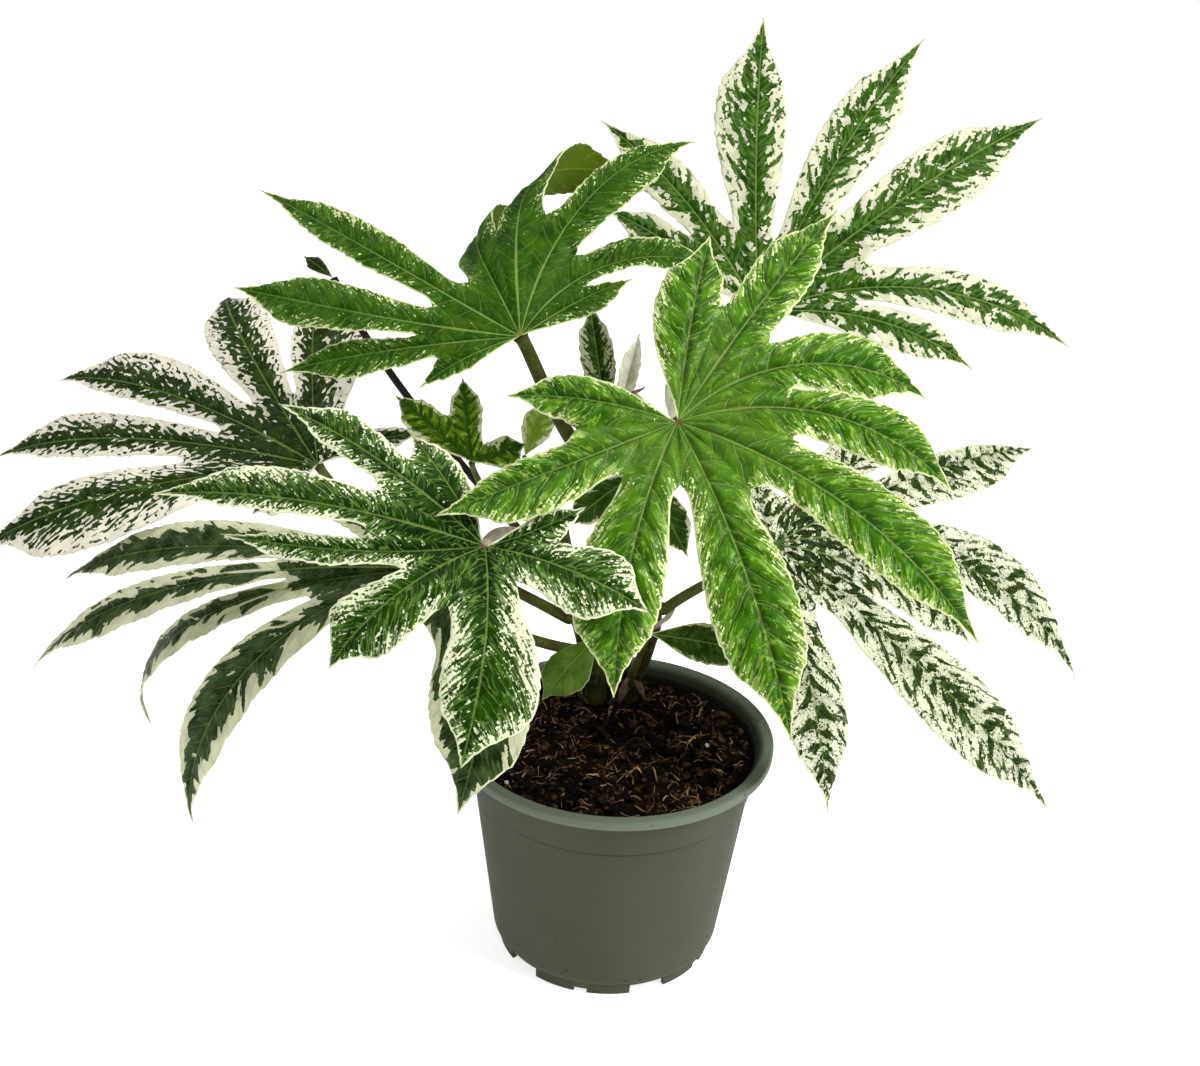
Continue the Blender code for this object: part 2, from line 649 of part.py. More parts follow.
def build_leaf(leaf, group):
    """One leaf: lobes that part at the notches, with toothed edges, as a thin closed blade."""
    ribs = [Rib(lobe) for lobe in leaf.lobes]
    shape = bmesh.new()
    for index in range(len(ribs)):
        for side in (-1, 1):
            add_half_lobe(shape, leaf, ribs, index, side)
    bmesh.ops.remove_doubles(shape, verts=shape.verts, dist=0.00002)
    bmesh.ops.triangulate(shape, faces=shape.faces)
    mesh = bpy.data.meshes.new(leaf.name)
    shape.to_mesh(mesh)
    shape.free()
    mesh.shade_smooth()
    finish = material(f"{leaf.name}_blade", LEAF_COLOURS[leaf.name], BLADE_ROUGHNESS)
    made = add_object(leaf.name, mesh, group, finish)
    made.matrix_world = leaf_frame(leaf)
    solid = made.modifiers.new("blade", "SOLIDIFY")
    solid.thickness = BLADE
    solid.offset = -1.0


def bezier(bends, t):
    """The point at a share t of a curve from the first of four points to the last."""
    a, b, c, d = bends
    return (1 - t) ** 3 * a + 3 * (1 - t) ** 2 * t * b + 3 * (1 - t) * t**2 * c + t**3 * d


def build_stalk(leaf, group):
    """A leaf's stalk, from just off its stem to just under the leaf's hub."""
    stem = STEMS[leaf.stem]
    path = stem_path(stem, 5 * STEM_POINTS)
    index = min(range(1, len(path)), key=lambda k: abs(path[k].z - leaf.height * MM))
    low, high = stem["radii"]
    stem_radius = (low + (high - low) * index / (len(path) - 1)) * MM
    thick = leaf.thick * MM
    hub = Vector(leaf.hub) * MM
    face = (leaf_frame(leaf).to_3x3() @ Vector((0.0, 0.0, 1.0))).normalized()
    along = (path[index] - path[index - 1]).normalized()
    leave = hub - path[index]
    leave = (leave - leave.dot(along) * along).normalized()
    start = path[index] + (stem_radius + CLEARANCE) * leave
    reach = (hub - start).length
    near = start + STALK_LEAVE * thick * leave
    if leaf.name in STALK_BENDS:
        inner = [Vector(point) * MM for point in STALK_BENDS[leaf.name]]
    else:
        inner = [
            near + STALK_REACH * reach * (leave + STALK_RISE * along),
            hub - STALK_REACH * reach * face,
        ]
    steep = (hub - inner[1]).normalized().dot(face)
    tilted = math.sqrt(max(0.0, 1.0 - steep**2))
    end = hub - (BLADE + CLEARANCE + STALK_TIP_ROOM * thick * tilted) * face
    bends = [near, *inner, end]
    points = [start, near, *[bezier(bends, k / STALK_POINTS) for k in range(1, STALK_POINTS)], end]
    count = len(points) - 1
    radii = [thick * (STALK_FOOT + (1.0 - STALK_FOOT) * k / count) for k in range(count + 1)]
    name = leaf.name.replace("leaf", "stalk")
    colour = STALK_COLOURS.get(leaf.name, STALK_COLOUR)
    tube(name, points, radii, group, material(f"{name}_skin", colour, STALK_ROUGHNESS))


def main():
    clear_scene()
    plant = new_collection("potted_fatsia")
    pot_cutters = new_collection("pot_cutters")
    soil_cutters = new_collection("soil_cutters")
    stand = bpy.data.objects.new("stand", None)
    plant.objects.link(stand)
    build_pot(plant, pot_cutters)
    build_soil(plant, soil_cutters)
    build_stems(plant)
    for leaf in LEAVES:
        build_leaf(leaf, plant)
        if leaf.stem:
            build_stalk(leaf, plant)
    for group in (plant, pot_cutters, soil_cutters):
        for made in group.objects:
            if made is not stand:
                made.parent = stand
    stand.location = POT_PLACE


main()
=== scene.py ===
"""Variegated fatsia in its nursery pot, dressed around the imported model.

Lengths are in metres, except in the tables of stems and leaves, which are in millimetres from the
middle of the pot's foot. The plant's front is towards -Y.
"""

import math
import random
from typing import NamedTuple

import bmesh
import bpy
from mathutils import Matrix, Vector, noise
from mathutils.kdtree import KDTree


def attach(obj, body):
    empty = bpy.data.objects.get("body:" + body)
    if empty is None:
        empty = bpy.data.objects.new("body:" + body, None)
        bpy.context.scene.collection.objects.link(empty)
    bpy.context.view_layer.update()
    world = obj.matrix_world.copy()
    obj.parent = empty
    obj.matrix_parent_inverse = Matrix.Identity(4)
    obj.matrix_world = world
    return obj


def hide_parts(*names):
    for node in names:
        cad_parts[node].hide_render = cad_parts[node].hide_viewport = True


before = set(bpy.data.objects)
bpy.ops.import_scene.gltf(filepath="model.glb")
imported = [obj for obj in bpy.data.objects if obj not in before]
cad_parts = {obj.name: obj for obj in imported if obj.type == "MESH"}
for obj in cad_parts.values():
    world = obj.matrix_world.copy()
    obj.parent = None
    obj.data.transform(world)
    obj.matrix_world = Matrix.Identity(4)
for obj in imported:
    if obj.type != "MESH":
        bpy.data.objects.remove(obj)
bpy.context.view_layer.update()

# The camera stands in front of the plant, a little over a metre off, and looks down at it by about
# a quarter of a right angle. Its place and lens come from the pot's rim, foot and sides.
camera_place = (0.0592, -1.00282, 0.72711)
camera_yaw, camera_pitch, camera_roll = 0.79, 25.20, 2.54
camera_data = bpy.data.cameras.new("camera")
camera_data.sensor_width = 36.0
camera_data.lens = 57.0
camera = bpy.data.objects.new("camera", camera_data)
bpy.context.scene.collection.objects.link(camera)
camera.matrix_world = (
    Matrix.Translation(camera_place)
    @ Matrix.Rotation(math.radians(camera_yaw), 4, "Z")
    @ Matrix.Rotation(math.radians(90.0 - camera_pitch), 4, "X")
    @ Matrix.Rotation(math.radians(camera_roll), 4, "Z")
)
bpy.context.scene.camera = camera


# The floor is a plain white sweep. The light is soft: a bright surround, a wide lamp above and in
# front to the right, and weaker ones above the plant and to its left.
def add(tree, kind, inputs=None, **settings):
    """Adds a shader node. An input that is a socket is linked, and any other is set."""
    made = tree.nodes.new(kind)
    for key, value in settings.items():
        setattr(made, key, value)
    for slot, value in (inputs or {}).items():
        if isinstance(value, bpy.types.NodeSocket):
            tree.links.new(value, made.inputs[slot])
        else:
            made.inputs[slot].default_value = value
    return made


def new_material(name, roughness):
    """Makes a material and returns it with its tree and its shader."""
    made = bpy.data.materials.new(name)
    made.use_nodes = True
    shader = made.node_tree.nodes["Principled BSDF"]
    shader.inputs["Roughness"].default_value = roughness
    return made, made.node_tree, shader


def new_piece(name, shape, finishes, smooth=True):
    """Makes an object from a bmesh, with its materials, and frees the bmesh."""
    mesh = bpy.data.meshes.new(name)
    shape.to_mesh(mesh)
    shape.free()
    if smooth:
        mesh.shade_smooth()
    for finish in finishes:
        mesh.materials.append(finish)
    made = bpy.data.objects.new(name, mesh)
    bpy.context.scene.collection.objects.link(made)
    return made


floor_reach = 6.0
floor_shape = bmesh.new()
bmesh.ops.create_grid(floor_shape, x_segments=1, y_segments=1, size=floor_reach)
floor_paint, _, floor_shader = new_material("floor_paint", 0.9)
floor_shader.inputs["Base Color"].default_value = (0.90, 0.90, 0.90, 1.0)
floor_shader.inputs["Emission Color"].default_value = (1.0, 1.0, 1.0, 1.0)
floor_shader.inputs["Emission Strength"].default_value = 0.74
floor = new_piece("floor", floor_shape, [floor_paint], smooth=False)

for label, place, aim, size, power in (
    ("lamp_key", (1.40, -0.72, 1.43), (0.0, 0.0, 0.22), 0.7, 34.0),
    ("lamp_fill", (-0.8, 0.1, 1.75), (-0.15, 0.0, 0.25), 1.2, 9.5),
    ("lamp_top", (0.0, 0.25, 1.9), (0.0, 0.0, 0.25), 1.4, 8.0),
):
    lamp_data = bpy.data.lights.new(label, "AREA")
    lamp_data.size = size
    lamp_data.energy = power
    lamp = bpy.data.objects.new(label, lamp_data)
    bpy.context.scene.collection.objects.link(lamp)
    lamp.location = place
    lamp.rotation_euler = (Vector(aim) - Vector(place)).to_track_quat("-Z", "Y").to_euler()

surround_light = 0.24
surround_seen = 1.0
surround = bpy.data.worlds.new("surround")
bpy.context.scene.world = surround
surround.use_nodes = True
sky = surround.node_tree
seen = add(sky, "ShaderNodeLightPath").outputs["Is Camera Ray"]
levels = {"Value": seen, "To Min": surround_light, "To Max": surround_seen}
strength = add(sky, "ShaderNodeMapRange", levels).outputs[0]
sky.nodes["Background"].inputs["Color"].default_value = (1.0, 1.0, 1.0, 1.0)
sky.links.new(strength, sky.nodes["Background"].inputs["Strength"])
bpy.context.scene.view_settings.view_transform = "Standard"

# The pot is a thin moulded nursery pot of grey-green plastic: a rolled lip, a tapered wall with a
# faint step under it, and a foot ring with gaps that let water out. Handling has left it dusty.
pot_place = Vector((0.0592, -0.0344, 0.0))
rim_radius = 0.0950
pot_height = 0.1416
lip_depth = 0.0062
lip_inner = 0.0894
wall_top = 0.0858
wall_foot = 0.0690
wall = 0.0016
floor_radius = 0.0655
step_height = 0.1115
foot_radius = 0.0652
foot_ring = 0.0034
foot_height = 0.0086
pot_floor = 0.0066
inside_floor = pot_floor + wall
under_lip = pot_height - lip_depth
gap_count = 5
first_gap = math.radians(25.0 - 90.0)
gap_depth = 0.0082
wide_gap = (0.022, 0.006)
narrow_gap = (0.008, 0.003)
drain_radius = 0.004
drain_ring = 0.050
pot_tones = ((0.050, 0.054, 0.035, 1.0), (0.081, 0.089, 0.060, 1.0))
lip_tone = (0.165, 0.196, 0.148, 1.0)
# The step's dark line is painted shade, the shadow under its small ledge.
step_shade_tone = (0.020, 0.022, 0.016, 1.0)
# The inner wall's dark tone is painted shade from the plant and the soil, mixed with dirt.
inside_shade_and_dirt_tone = (0.012, 0.011, 0.007, 1.0)
grit_tone = (0.012, 0.009, 0.006, 1.0)


def inner_radius(height):
    """The pot's inside radius at a height, between its floor and its lip."""
    share = (height - inside_floor) / (under_lip - inside_floor)
    return floor_radius + (wall_top - wall - floor_radius) * share


def rounded(corners):
    """Rounds a line of (radius, height, rounding) corners, in 4 steps each."""
    line = [Vector(corners[0][:2])]
    for before, here, after in zip(corners, corners[1:], corners[2:]):
        corner = Vector(here[:2])
        back = Vector(before[:2]) - corner
        ahead = Vector(after[:2]) - corner
        reach = min(here[2], 0.45 * back.length, 0.45 * ahead.length)
        first = corner + reach * back.normalized()
        last = corner + reach * ahead.normalized()
        for step in range(5):
            t = step / 4.0
            line.append((1 - t) ** 2 * first + 2 * t * (1 - t) * corner + t * t * last)
    line.append(Vector(corners[-1][:2]))
    return line


def pot_shape():
    """Turns the pot's outline about its axis."""
    slope = (wall_top - wall_foot) / (under_lip - foot_height)
    step_radius = wall_foot + slope * (step_height - foot_height)
    line = rounded([
        (0.0, inside_floor, 0.0),
        (inner_radius(inside_floor), inside_floor, 0.003),
        (inner_radius(under_lip), under_lip, 0.002),
        (lip_inner - 0.0006, pot_height, 0.0016),
        (rim_radius, pot_height, 0.0018),
        (rim_radius - 0.0004, under_lip, 0.0010),
        (wall_top, under_lip - 0.0003, 0.0008),
        (step_radius + 0.0002, step_height, 0.0002),
        (step_radius - 0.0006, step_height - 0.0006, 0.0002),
        (wall_foot - 0.0002, foot_height + 0.0026, 0.0022),
        (wall_foot - 0.0016, foot_height + 0.0005, 0.0002),
        (wall_foot - 0.0022, foot_height, 0.0003),
        (foot_radius, foot_height - 0.0006, 0.0005),
        (foot_radius - 0.0003, 0.0, 0.0005),
        (foot_radius - foot_ring, 0.0, 0.0005),
        (foot_radius - foot_ring, pot_floor, 0.0005),
        (0.0, pot_floor, 0.0),
    ])
    shape = bmesh.new()
    points = [shape.verts.new((point.x, 0.0, point.y)) for point in line]
    edges = [shape.edges.new(pair) for pair in zip(points, points[1:])]
    bmesh.ops.spin(
        shape, geom=points + edges, axis=(0.0, 0.0, 1.0), cent=(0.0, 0.0, 0.0),
        angle=math.tau, steps=160, use_merge=True,
    )
    bmesh.ops.remove_doubles(shape, verts=shape.verts, dist=0.00001)
    bmesh.ops.recalc_face_normals(shape, faces=shape.faces)
    bmesh.ops.translate(shape, verts=shape.verts, vec=pot_place)
    return shape


def foot_cutters():
    """All that is cut from the foot: wide and narrow gaps, and a drain by each wide gap."""
    shape = bmesh.new()
    for k in range(gap_count):
        for offset, (width, height) in ((0.0, wide_gap), (0.5, narrow_gap)):
            turn = Matrix.Rotation(first_gap + (k + offset) * math.tau / gap_count, 4, "Z")
            place = Matrix.Translation(pot_place) @ turn
            gap = bmesh.ops.create_cube(shape, size=1.0)["verts"]
            bmesh.ops.scale(shape, verts=gap, vec=(gap_depth, width, 2.0 * height))
            bmesh.ops.translate(shape, verts=gap, vec=(foot_radius - 0.5 * foot_ring, 0.0, 0.0))
            bmesh.ops.transform(shape, verts=gap, matrix=place)
            if offset == 0.0:
                drain = bmesh.ops.create_cone(
                    shape, cap_ends=True, segments=32, radius1=drain_radius, radius2=drain_radius,
                    depth=6.0 * wall,
                )["verts"]
                bmesh.ops.translate(shape, verts=drain, vec=(drain_ring, 0.0, pot_floor + 0.5 * wall))
                bmesh.ops.transform(shape, verts=drain, matrix=place)
    return shape


def calc(tree, operation, *values):
    """Adds a sum, product or other reckoning, and returns its result."""
    return add(tree, "ShaderNodeMath", dict(enumerate(values)), operation=operation).outputs[0]


def span(tree, value, low, high, to_low=0.0, to_high=1.0):
    """Stretches a value's range from low to high over another, and returns it."""
    inputs = {"Value": value, "From Min": low, "From Max": high, "To Min": to_low, "To Max": to_high}
    return add(tree, "ShaderNodeMapRange", inputs).outputs[0]


def tint(tree, share, first, second):
    """Mixes two colours by a share of the second, and returns the result."""
    return add(tree, "ShaderNodeMix", {0: share, 6: first, 7: second}, data_type="RGBA").outputs[2]


def grain(tree, vector, scale, detail=2.0, roughness=0.5):
    """Adds a cloudy pattern and returns it as a value."""
    inputs = {"Vector": vector, "Scale": scale, "Detail": detail, "Roughness": roughness}
    return add(tree, "ShaderNodeTexNoise", inputs).outputs[0]


def relief(tree, shader, height, strength, depth):
    """Lets a value raise and sink the surface."""
    bump = add(tree, "ShaderNodeBump", {"Height": height, "Strength": strength, "Distance": depth})
    tree.links.new(bump.outputs[0], shader.inputs["Normal"])


def pot_finish():
    """Moulded plastic: cloudy grey-green, paler on the lip, with grit on the lip and the foot, painted shade
    at the step, and painted shade with dirt on the inner wall.
    """
    made, tree, shader = new_material("pot_plastic", 0.5)
    shader.inputs["Specular IOR Level"].default_value = 0.06
    place = add(tree, "ShaderNodeTexCoord").outputs["Object"]
    height = add(tree, "ShaderNodeSeparateXYZ", {0: place}).outputs[2]
    lines = grain(tree, place, 600.0, 3.0)
    clouds = grain(tree, place, 14.0, 4.0)
    colour = tint(tree, clouds, *pot_tones)
    on_lip = span(tree, height, under_lip - 0.0004, under_lip + 0.0006)
    aside = add(tree, "ShaderNodeVectorMath", {0: place, 1: pot_place}, operation="SUBTRACT").outputs[0]
    aside = add(tree, "ShaderNodeVectorMath", {0: aside, 1: (1.0, 1.0, 0.0)}, operation="MULTIPLY").outputs[0]
    radius = add(tree, "ShaderNodeVectorMath", {0: aside}, operation="LENGTH").outputs[1]
    middle = span(tree, height, foot_height, under_lip, wall_foot - 0.0008, wall_top - 0.0008)
    middle = calc(tree, "ADD", middle, span(tree, height, under_lip, pot_height, 0.0, 0.0034))
    # The pot's inner wall, above its floor, is darkened: partly painted shade, partly dirt.
    inside = span(tree, calc(tree, "SUBTRACT", radius, middle), -0.0003, 0.0003, 0.8, 0.0)
    inside = calc(tree, "MULTIPLY", inside, span(tree, height, 0.020, 0.030))
    colour = tint(tree, calc(tree, "MULTIPLY", on_lip, 0.8), colour, lip_tone)
    # A thin dark line at the step: painted shade under its small ledge.
    near_step = calc(tree, "ABSOLUTE", calc(tree, "SUBTRACT", height, step_height - 0.0006))
    colour = tint(tree, span(tree, near_step, 0.0003, 0.0009, 0.7, 0.0), colour, step_shade_tone)
    colour = tint(tree, inside, colour, inside_shade_and_dirt_tone)
    dirty = calc(tree, "MAXIMUM", span(tree, height, 0.012, 0.045, 1.0, 0.0), on_lip)
    grit = calc(tree, "ADD", grain(tree, place, 300.0), calc(tree, "MULTIPLY", dirty, 0.06))
    grit = calc(tree, "ADD", grit, span(tree, grain(tree, place, 25.0), 0.3, 0.7, -0.04, 0.04))
    colour = tint(tree, span(tree, grit, 0.775, 0.795), colour, grit_tone)
    tree.links.new(colour, shader.inputs["Base Color"])
    tree.links.new(span(tree, lines, 0.3, 0.7, 0.52, 0.64), shader.inputs["Roughness"])
    relief(tree, shader, lines, 0.08, 0.0003)
    return made


def settle(piece):
    """Keeps the shape that a piece's modifiers give, and drops the modifiers."""
    shown = piece.evaluated_get(bpy.context.evaluated_depsgraph_get())
    mesh = bpy.data.meshes.new_from_object(shown)
    piece.modifiers.clear()
    piece.data = mesh


pot = new_piece("nursery_pot", pot_shape(), [pot_finish()])
cutter = new_piece("foot_cutter", foot_cutters(), [], smooth=False)
cut = pot.modifiers.new("foot", "BOOLEAN")
cut.operation = "DIFFERENCE"
cut.solver = "EXACT"
cut.object = cutter
settle(pot)
bpy.data.objects.remove(cutter, do_unlink=True)
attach(pot, "root")
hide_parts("pot")

# The soil is moist dark peat with coir strands, crumbs, a little bark and a bead or two of
# perlite. It fills the pot to a finger's width under the lip and lies loose round the stems.
soil_top = 0.1322
soil_depth = 0.030
soil_gap = 0.0003
soil_cells = 170
stem_feet = [Vector((-0.012, 0.053)), Vector((0.008, 0.055))]
stem_room = 0.0088
perlite_places = ((-0.0600, -0.0480), (0.056, 0.0026))
soil_draw = random.Random(11)


def soil_height(x, y):
    """Height of the crumbly top of the soil, flat at the wall and round the stems."""
    radius = math.hypot(x, y)
    calm = (inner_radius(soil_top) - radius) / 0.008
    for foot in stem_feet:
        calm = min(calm, ((Vector((x, y)) - foot).length - 0.010) / 0.010)
    calm = max(0.0, min(1.0, calm))
    spot = Vector((x, y, 0.0))
    coarse = noise.noise(spot * 45.0) + noise.noise(Vector((x, y, 1.0)) * 110.0)
    crumbs = noise.noise(spot * 260.0) + 0.6 * noise.noise(spot * 620.0)
    return soil_top + 0.0040 * calm * coarse + 0.0016 * min(1.0, calm + 0.3) * crumbs


def soil_shape():
    """A fine grid drawn out to a disc, roughened, with its edge taken down the pot's wall."""
    edge = inner_radius(soil_top) - soil_gap
    shape = bmesh.new()
    bmesh.ops.create_grid(shape, x_segments=soil_cells, y_segments=soil_cells, size=1.0)
    rim = [side for side in shape.edges if side.is_boundary]
    for corner in shape.verts:
        x, y = corner.co.x, corner.co.y
        place = edge * Vector((x * math.sqrt(1 - 0.5 * y * y), y * math.sqrt(1 - 0.5 * x * x)))
        corner.co = Vector((place.x, place.y, soil_height(place.x, place.y)))
    for height in (soil_top - 0.004, soil_top - soil_depth):
        made = bmesh.ops.extrude_edge_only(shape, edges=rim)["geom"]
        rim = [item for item in made if isinstance(item, bmesh.types.BMEdge)]
        for corner in [item for item in made if isinstance(item, bmesh.types.BMVert)]:
            out = corner.co.xy.normalized() * (inner_radius(height) - soil_gap)
            corner.co = Vector((out.x, out.y, height))
    bmesh.ops.holes_fill(shape, edges=[side for side in shape.edges if side.is_boundary])
    bmesh.ops.recalc_face_normals(shape, faces=shape.faces)
    bmesh.ops.translate(shape, verts=shape.verts, vec=pot_place)
    return shape


def scattered(spread=0.95):
    """A place on the soil, clear of the stems, with its height."""
    edge = inner_radius(soil_top) - soil_gap
    while True:
        radius = spread * edge * math.sqrt(soil_draw.random())
        angle = soil_draw.uniform(0.0, math.tau)
        x, y = radius * math.cos(angle), radius * math.sin(angle)
        if min((Vector((x, y)) - foot).length for foot in stem_feet) > stem_room:
            return Vector((x, y, soil_height(x, y)))


def crumb_shape(count, sizes, flatness, sink, places=()):
    """Loose bits that lie on the soil: small lumps, each with its own size and lie."""
    shape = bmesh.new()
    for k in range(count):
        size = soil_draw.uniform(*sizes)
        lump = bmesh.ops.create_icosphere(shape, subdivisions=1, radius=1.0)["verts"]
        for corner in lump:
            corner.co *= soil_draw.uniform(0.7, 1.15)
        stretch = (size * soil_draw.uniform(1.0, 1.8), size, size * flatness)
        turn = Matrix.Rotation(soil_draw.uniform(0.0, math.tau), 4, "Z")
        tilt = Matrix.Rotation(soil_draw.uniform(-0.5, 0.5), 4, "X")
        spot = scattered() if k >= len(places) else Vector((*places[k], soil_height(*places[k])))
        spot.z += size * flatness * sink
        place = Matrix.Translation(pot_place + spot) @ turn @ tilt @ Matrix.Diagonal((*stretch, 1.0))
        bmesh.ops.transform(shape, verts=lump, matrix=place)
    return shape


def sleeve(shape, path, radius_at, sides):
    """Wraps a closed tube round a path. radius_at gives its radius at a share along and an angle."""
    uv = shape.loops.layers.uv.get("along") or shape.loops.layers.uv.new("along")
    rows = len(path) - 1
    grid = bmesh.ops.create_grid(shape, x_segments=rows, y_segments=sides, size=0.5)["verts"]
    ahead = [(path[min(k + 1, rows)] - path[max(k - 1, 0)]).normalized() for k in range(rows + 1)]
    first = ahead[0].orthogonal().normalized()
    across = []
    for direction in ahead:
        first = (first - first.dot(direction) * direction).normalized()
        across.append(first)
    length = [0.0]
    for start, end in zip(path, path[1:]):
        length.append(length[-1] + (end - start).length)
    for corner in grid:
        row = round((corner.co.x + 0.5) * rows)
        turn = round((corner.co.y + 0.5) * sides)
        angle = math.tau * turn / sides
        out = math.cos(angle) * across[row] + math.sin(angle) * ahead[row].cross(across[row])
        corner.co = path[row] + radius_at(row / rows, angle) * out
        for loop in corner.link_loops:
            loop[uv].uv = (length[row], turn / sides)
    bmesh.ops.remove_doubles(shape, verts=grid, dist=0.000001)
    made = [corner for corner in grid if corner.is_valid]
    ends = {side for corner in made for side in corner.link_edges if side.is_boundary}
    caps = bmesh.ops.holes_fill(shape, edges=list(ends))["faces"]
    skin = {face for corner in made for face in corner.link_faces}
    bmesh.ops.recalc_face_normals(shape, faces=list(skin | set(caps)))


def strand_shape(count, lengths, radii):
    """Coir strands: thin bent fibres that lie about on the soil, half sunk in it."""
    shape = bmesh.new()
    for _ in range(count):
        spot = scattered(0.93)
        heading = soil_draw.uniform(0.0, math.tau)
        bend = soil_draw.uniform(-60.0, 60.0)
        step = soil_draw.uniform(*lengths) / 5
        path = []
        place = spot.copy()
        for k in range(6):
            rise = 0.0006 + 0.0016 * math.sin(math.pi * k / 5) * soil_draw.random()
            height = soil_height(place.x, place.y) + rise
            path.append(pot_place + Vector((place.x, place.y, height)))
            heading += bend * step
            place += step * Vector((math.cos(heading), math.sin(heading), 0.0))
            if place.xy.length > inner_radius(soil_top) - 0.003:
                break
        if len(path) > 2:
            size = soil_draw.uniform(*radii)
            sleeve(shape, path, lambda share, angle: size * (1.0 - 0.6 * share), 3)
    return shape


def soil_finish(name, dark, light, scale, roughness):
    """Peat, bark or coir: two tones in crumbs of a given fineness."""
    made, tree, shader = new_material(name, roughness)
    place = add(tree, "ShaderNodeTexCoord").outputs["Object"]
    crumbs = grain(tree, place, scale, 5.0, 0.7)
    patches = grain(tree, place, 60.0, 2.0)
    colour = tint(tree, span(tree, crumbs, 0.42, 0.70), dark, light)
    colour = tint(tree, span(tree, patches, 0.35, 0.65, 0.0, 0.8), colour, dark)
    tree.links.new(colour, shader.inputs["Base Color"])
    shader.inputs["Specular IOR Level"].default_value = 0.08
    relief(tree, shader, crumbs, 0.8, 0.0010)
    return made


peat = soil_finish("peat", (0.0006, 0.0003, 0.0002, 1.0), (0.026, 0.013, 0.006, 1.0), 500.0, 0.95)
clods = soil_finish("clods", (0.002, 0.0010, 0.0005, 1.0), (0.180, 0.088, 0.034, 1.0), 420.0, 0.9)
bark = soil_finish("bark_bits", (0.040, 0.019, 0.008, 1.0), (0.300, 0.165, 0.080, 1.0), 400.0, 0.8)
coir = soil_finish("coir", (0.090, 0.042, 0.017, 1.0), (0.920, 0.580, 0.310, 1.0), 90.0, 0.7)
straw = soil_finish("straw", (0.200, 0.100, 0.045, 1.0), (0.950, 0.720, 0.460, 1.0), 140.0, 0.7)
perlite = soil_finish("perlite", (0.72, 0.70, 0.66, 1.0), (0.90, 0.89, 0.86, 1.0), 900.0, 0.9)
for name, shape, finish in (
    ("soil_bed", soil_shape(), peat),
    ("soil_crumbs", crumb_shape(800, (0.0007, 0.0028), 0.8, 0.1), peat),
    ("soil_clods", crumb_shape(560, (0.0006, 0.0030), 0.7, 0.2), clods),
    ("soil_bark", crumb_shape(110, (0.0007, 0.0018), 0.30, 0.9), bark),
    ("soil_strands", strand_shape(240, (0.005, 0.016), (0.00018, 0.00055)), coir),
    ("soil_straw", strand_shape(60, (0.004, 0.012), (0.00035, 0.00085)), straw),
    ("soil_perlite", crumb_shape(2, (0.0014, 0.0017), 0.8, 1.3, perlite_places), perlite),
):
    piece = new_piece(name, shape, [finish], smooth=name == "soil_bed")
    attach(piece, "root")
    if name == "soil_bed":
        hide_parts("soil")

# Two young stems grow from the soil side by side: a thick green one, and a thinner brown one that
# ends in the new shoots. Old leaf scars ring them.
stems = {
    "stem_left": {
        "points": [
            (-12, 53, 117), (-12, 53, 132), (-13, 53, 145), (-17, 52, 165), (-24, 50, 189), (-38, 48, 250),
        ],
        "radii": (7.2, 5.0),
        "colours": ((0.026, 0.040, 0.006, 1.0), (0.075, 0.088, 0.020, 1.0), (0.050, 0.030, 0.012, 1.0)),
    },
    "stem_right": {
        "points": [
            (8, 55, 117), (8, 55, 132), (10, 54, 145), (18, 52, 172), (21, 50, 200), (7, 50, 265),
            (-10, 50, 314),
        ],
        "radii": (5.4, 3.6),
        "colours": ((0.024, 0.020, 0.007, 1.0), (0.080, 0.064, 0.026, 1.0), (0.040, 0.052, 0.012, 1.0)),
    },
}
scar_rings = 0.019
scar_tone = (0.110, 0.078, 0.038, 1.0)


def smooth_path(points, count):
    """Runs a smooth curve through a few points and returns count points along it."""
    ends = [2 * points[0] - points[1], *points, 2 * points[-1] - points[-2]]
    path = []
    for k in range(count):
        along = (len(points) - 1) * k / (count - 1)
        step = min(int(along), len(points) - 2)
        t = along - step
        a, b, c, d = ends[step:step + 4]
        curved = (2 * a - 5 * b + 4 * c - d) * t**2 + (3 * b - a - 3 * c + d) * t**3
        path.append(0.5 * (2 * b + (c - a) * t + curved))
    return path


def stem_path(stem, count):
    """Points along a stem's middle line, from its foot up, from the middle of the pot's foot."""
    return smooth_path([Vector(point) * 0.001 for point in stem["points"]], count)


def stem_shape(stem):
    """A stem's skin: tapered, a little uneven, and swollen where old leaves stood."""
    low, high = stem["radii"]

    def radius_at(share, angle):
        swell = max(0.0, math.cos(math.tau * share * 7.0)) ** 8
        uneven = 0.03 * math.sin(2 * angle + 9.0 * share)
        return 0.001 * (low + (high - low) * share) * (1.0 + uneven + 0.07 * swell)

    shape = bmesh.new()
    sleeve(shape, [pot_place + point for point in stem_path(stem, 90)], radius_at, 28)
    return shape


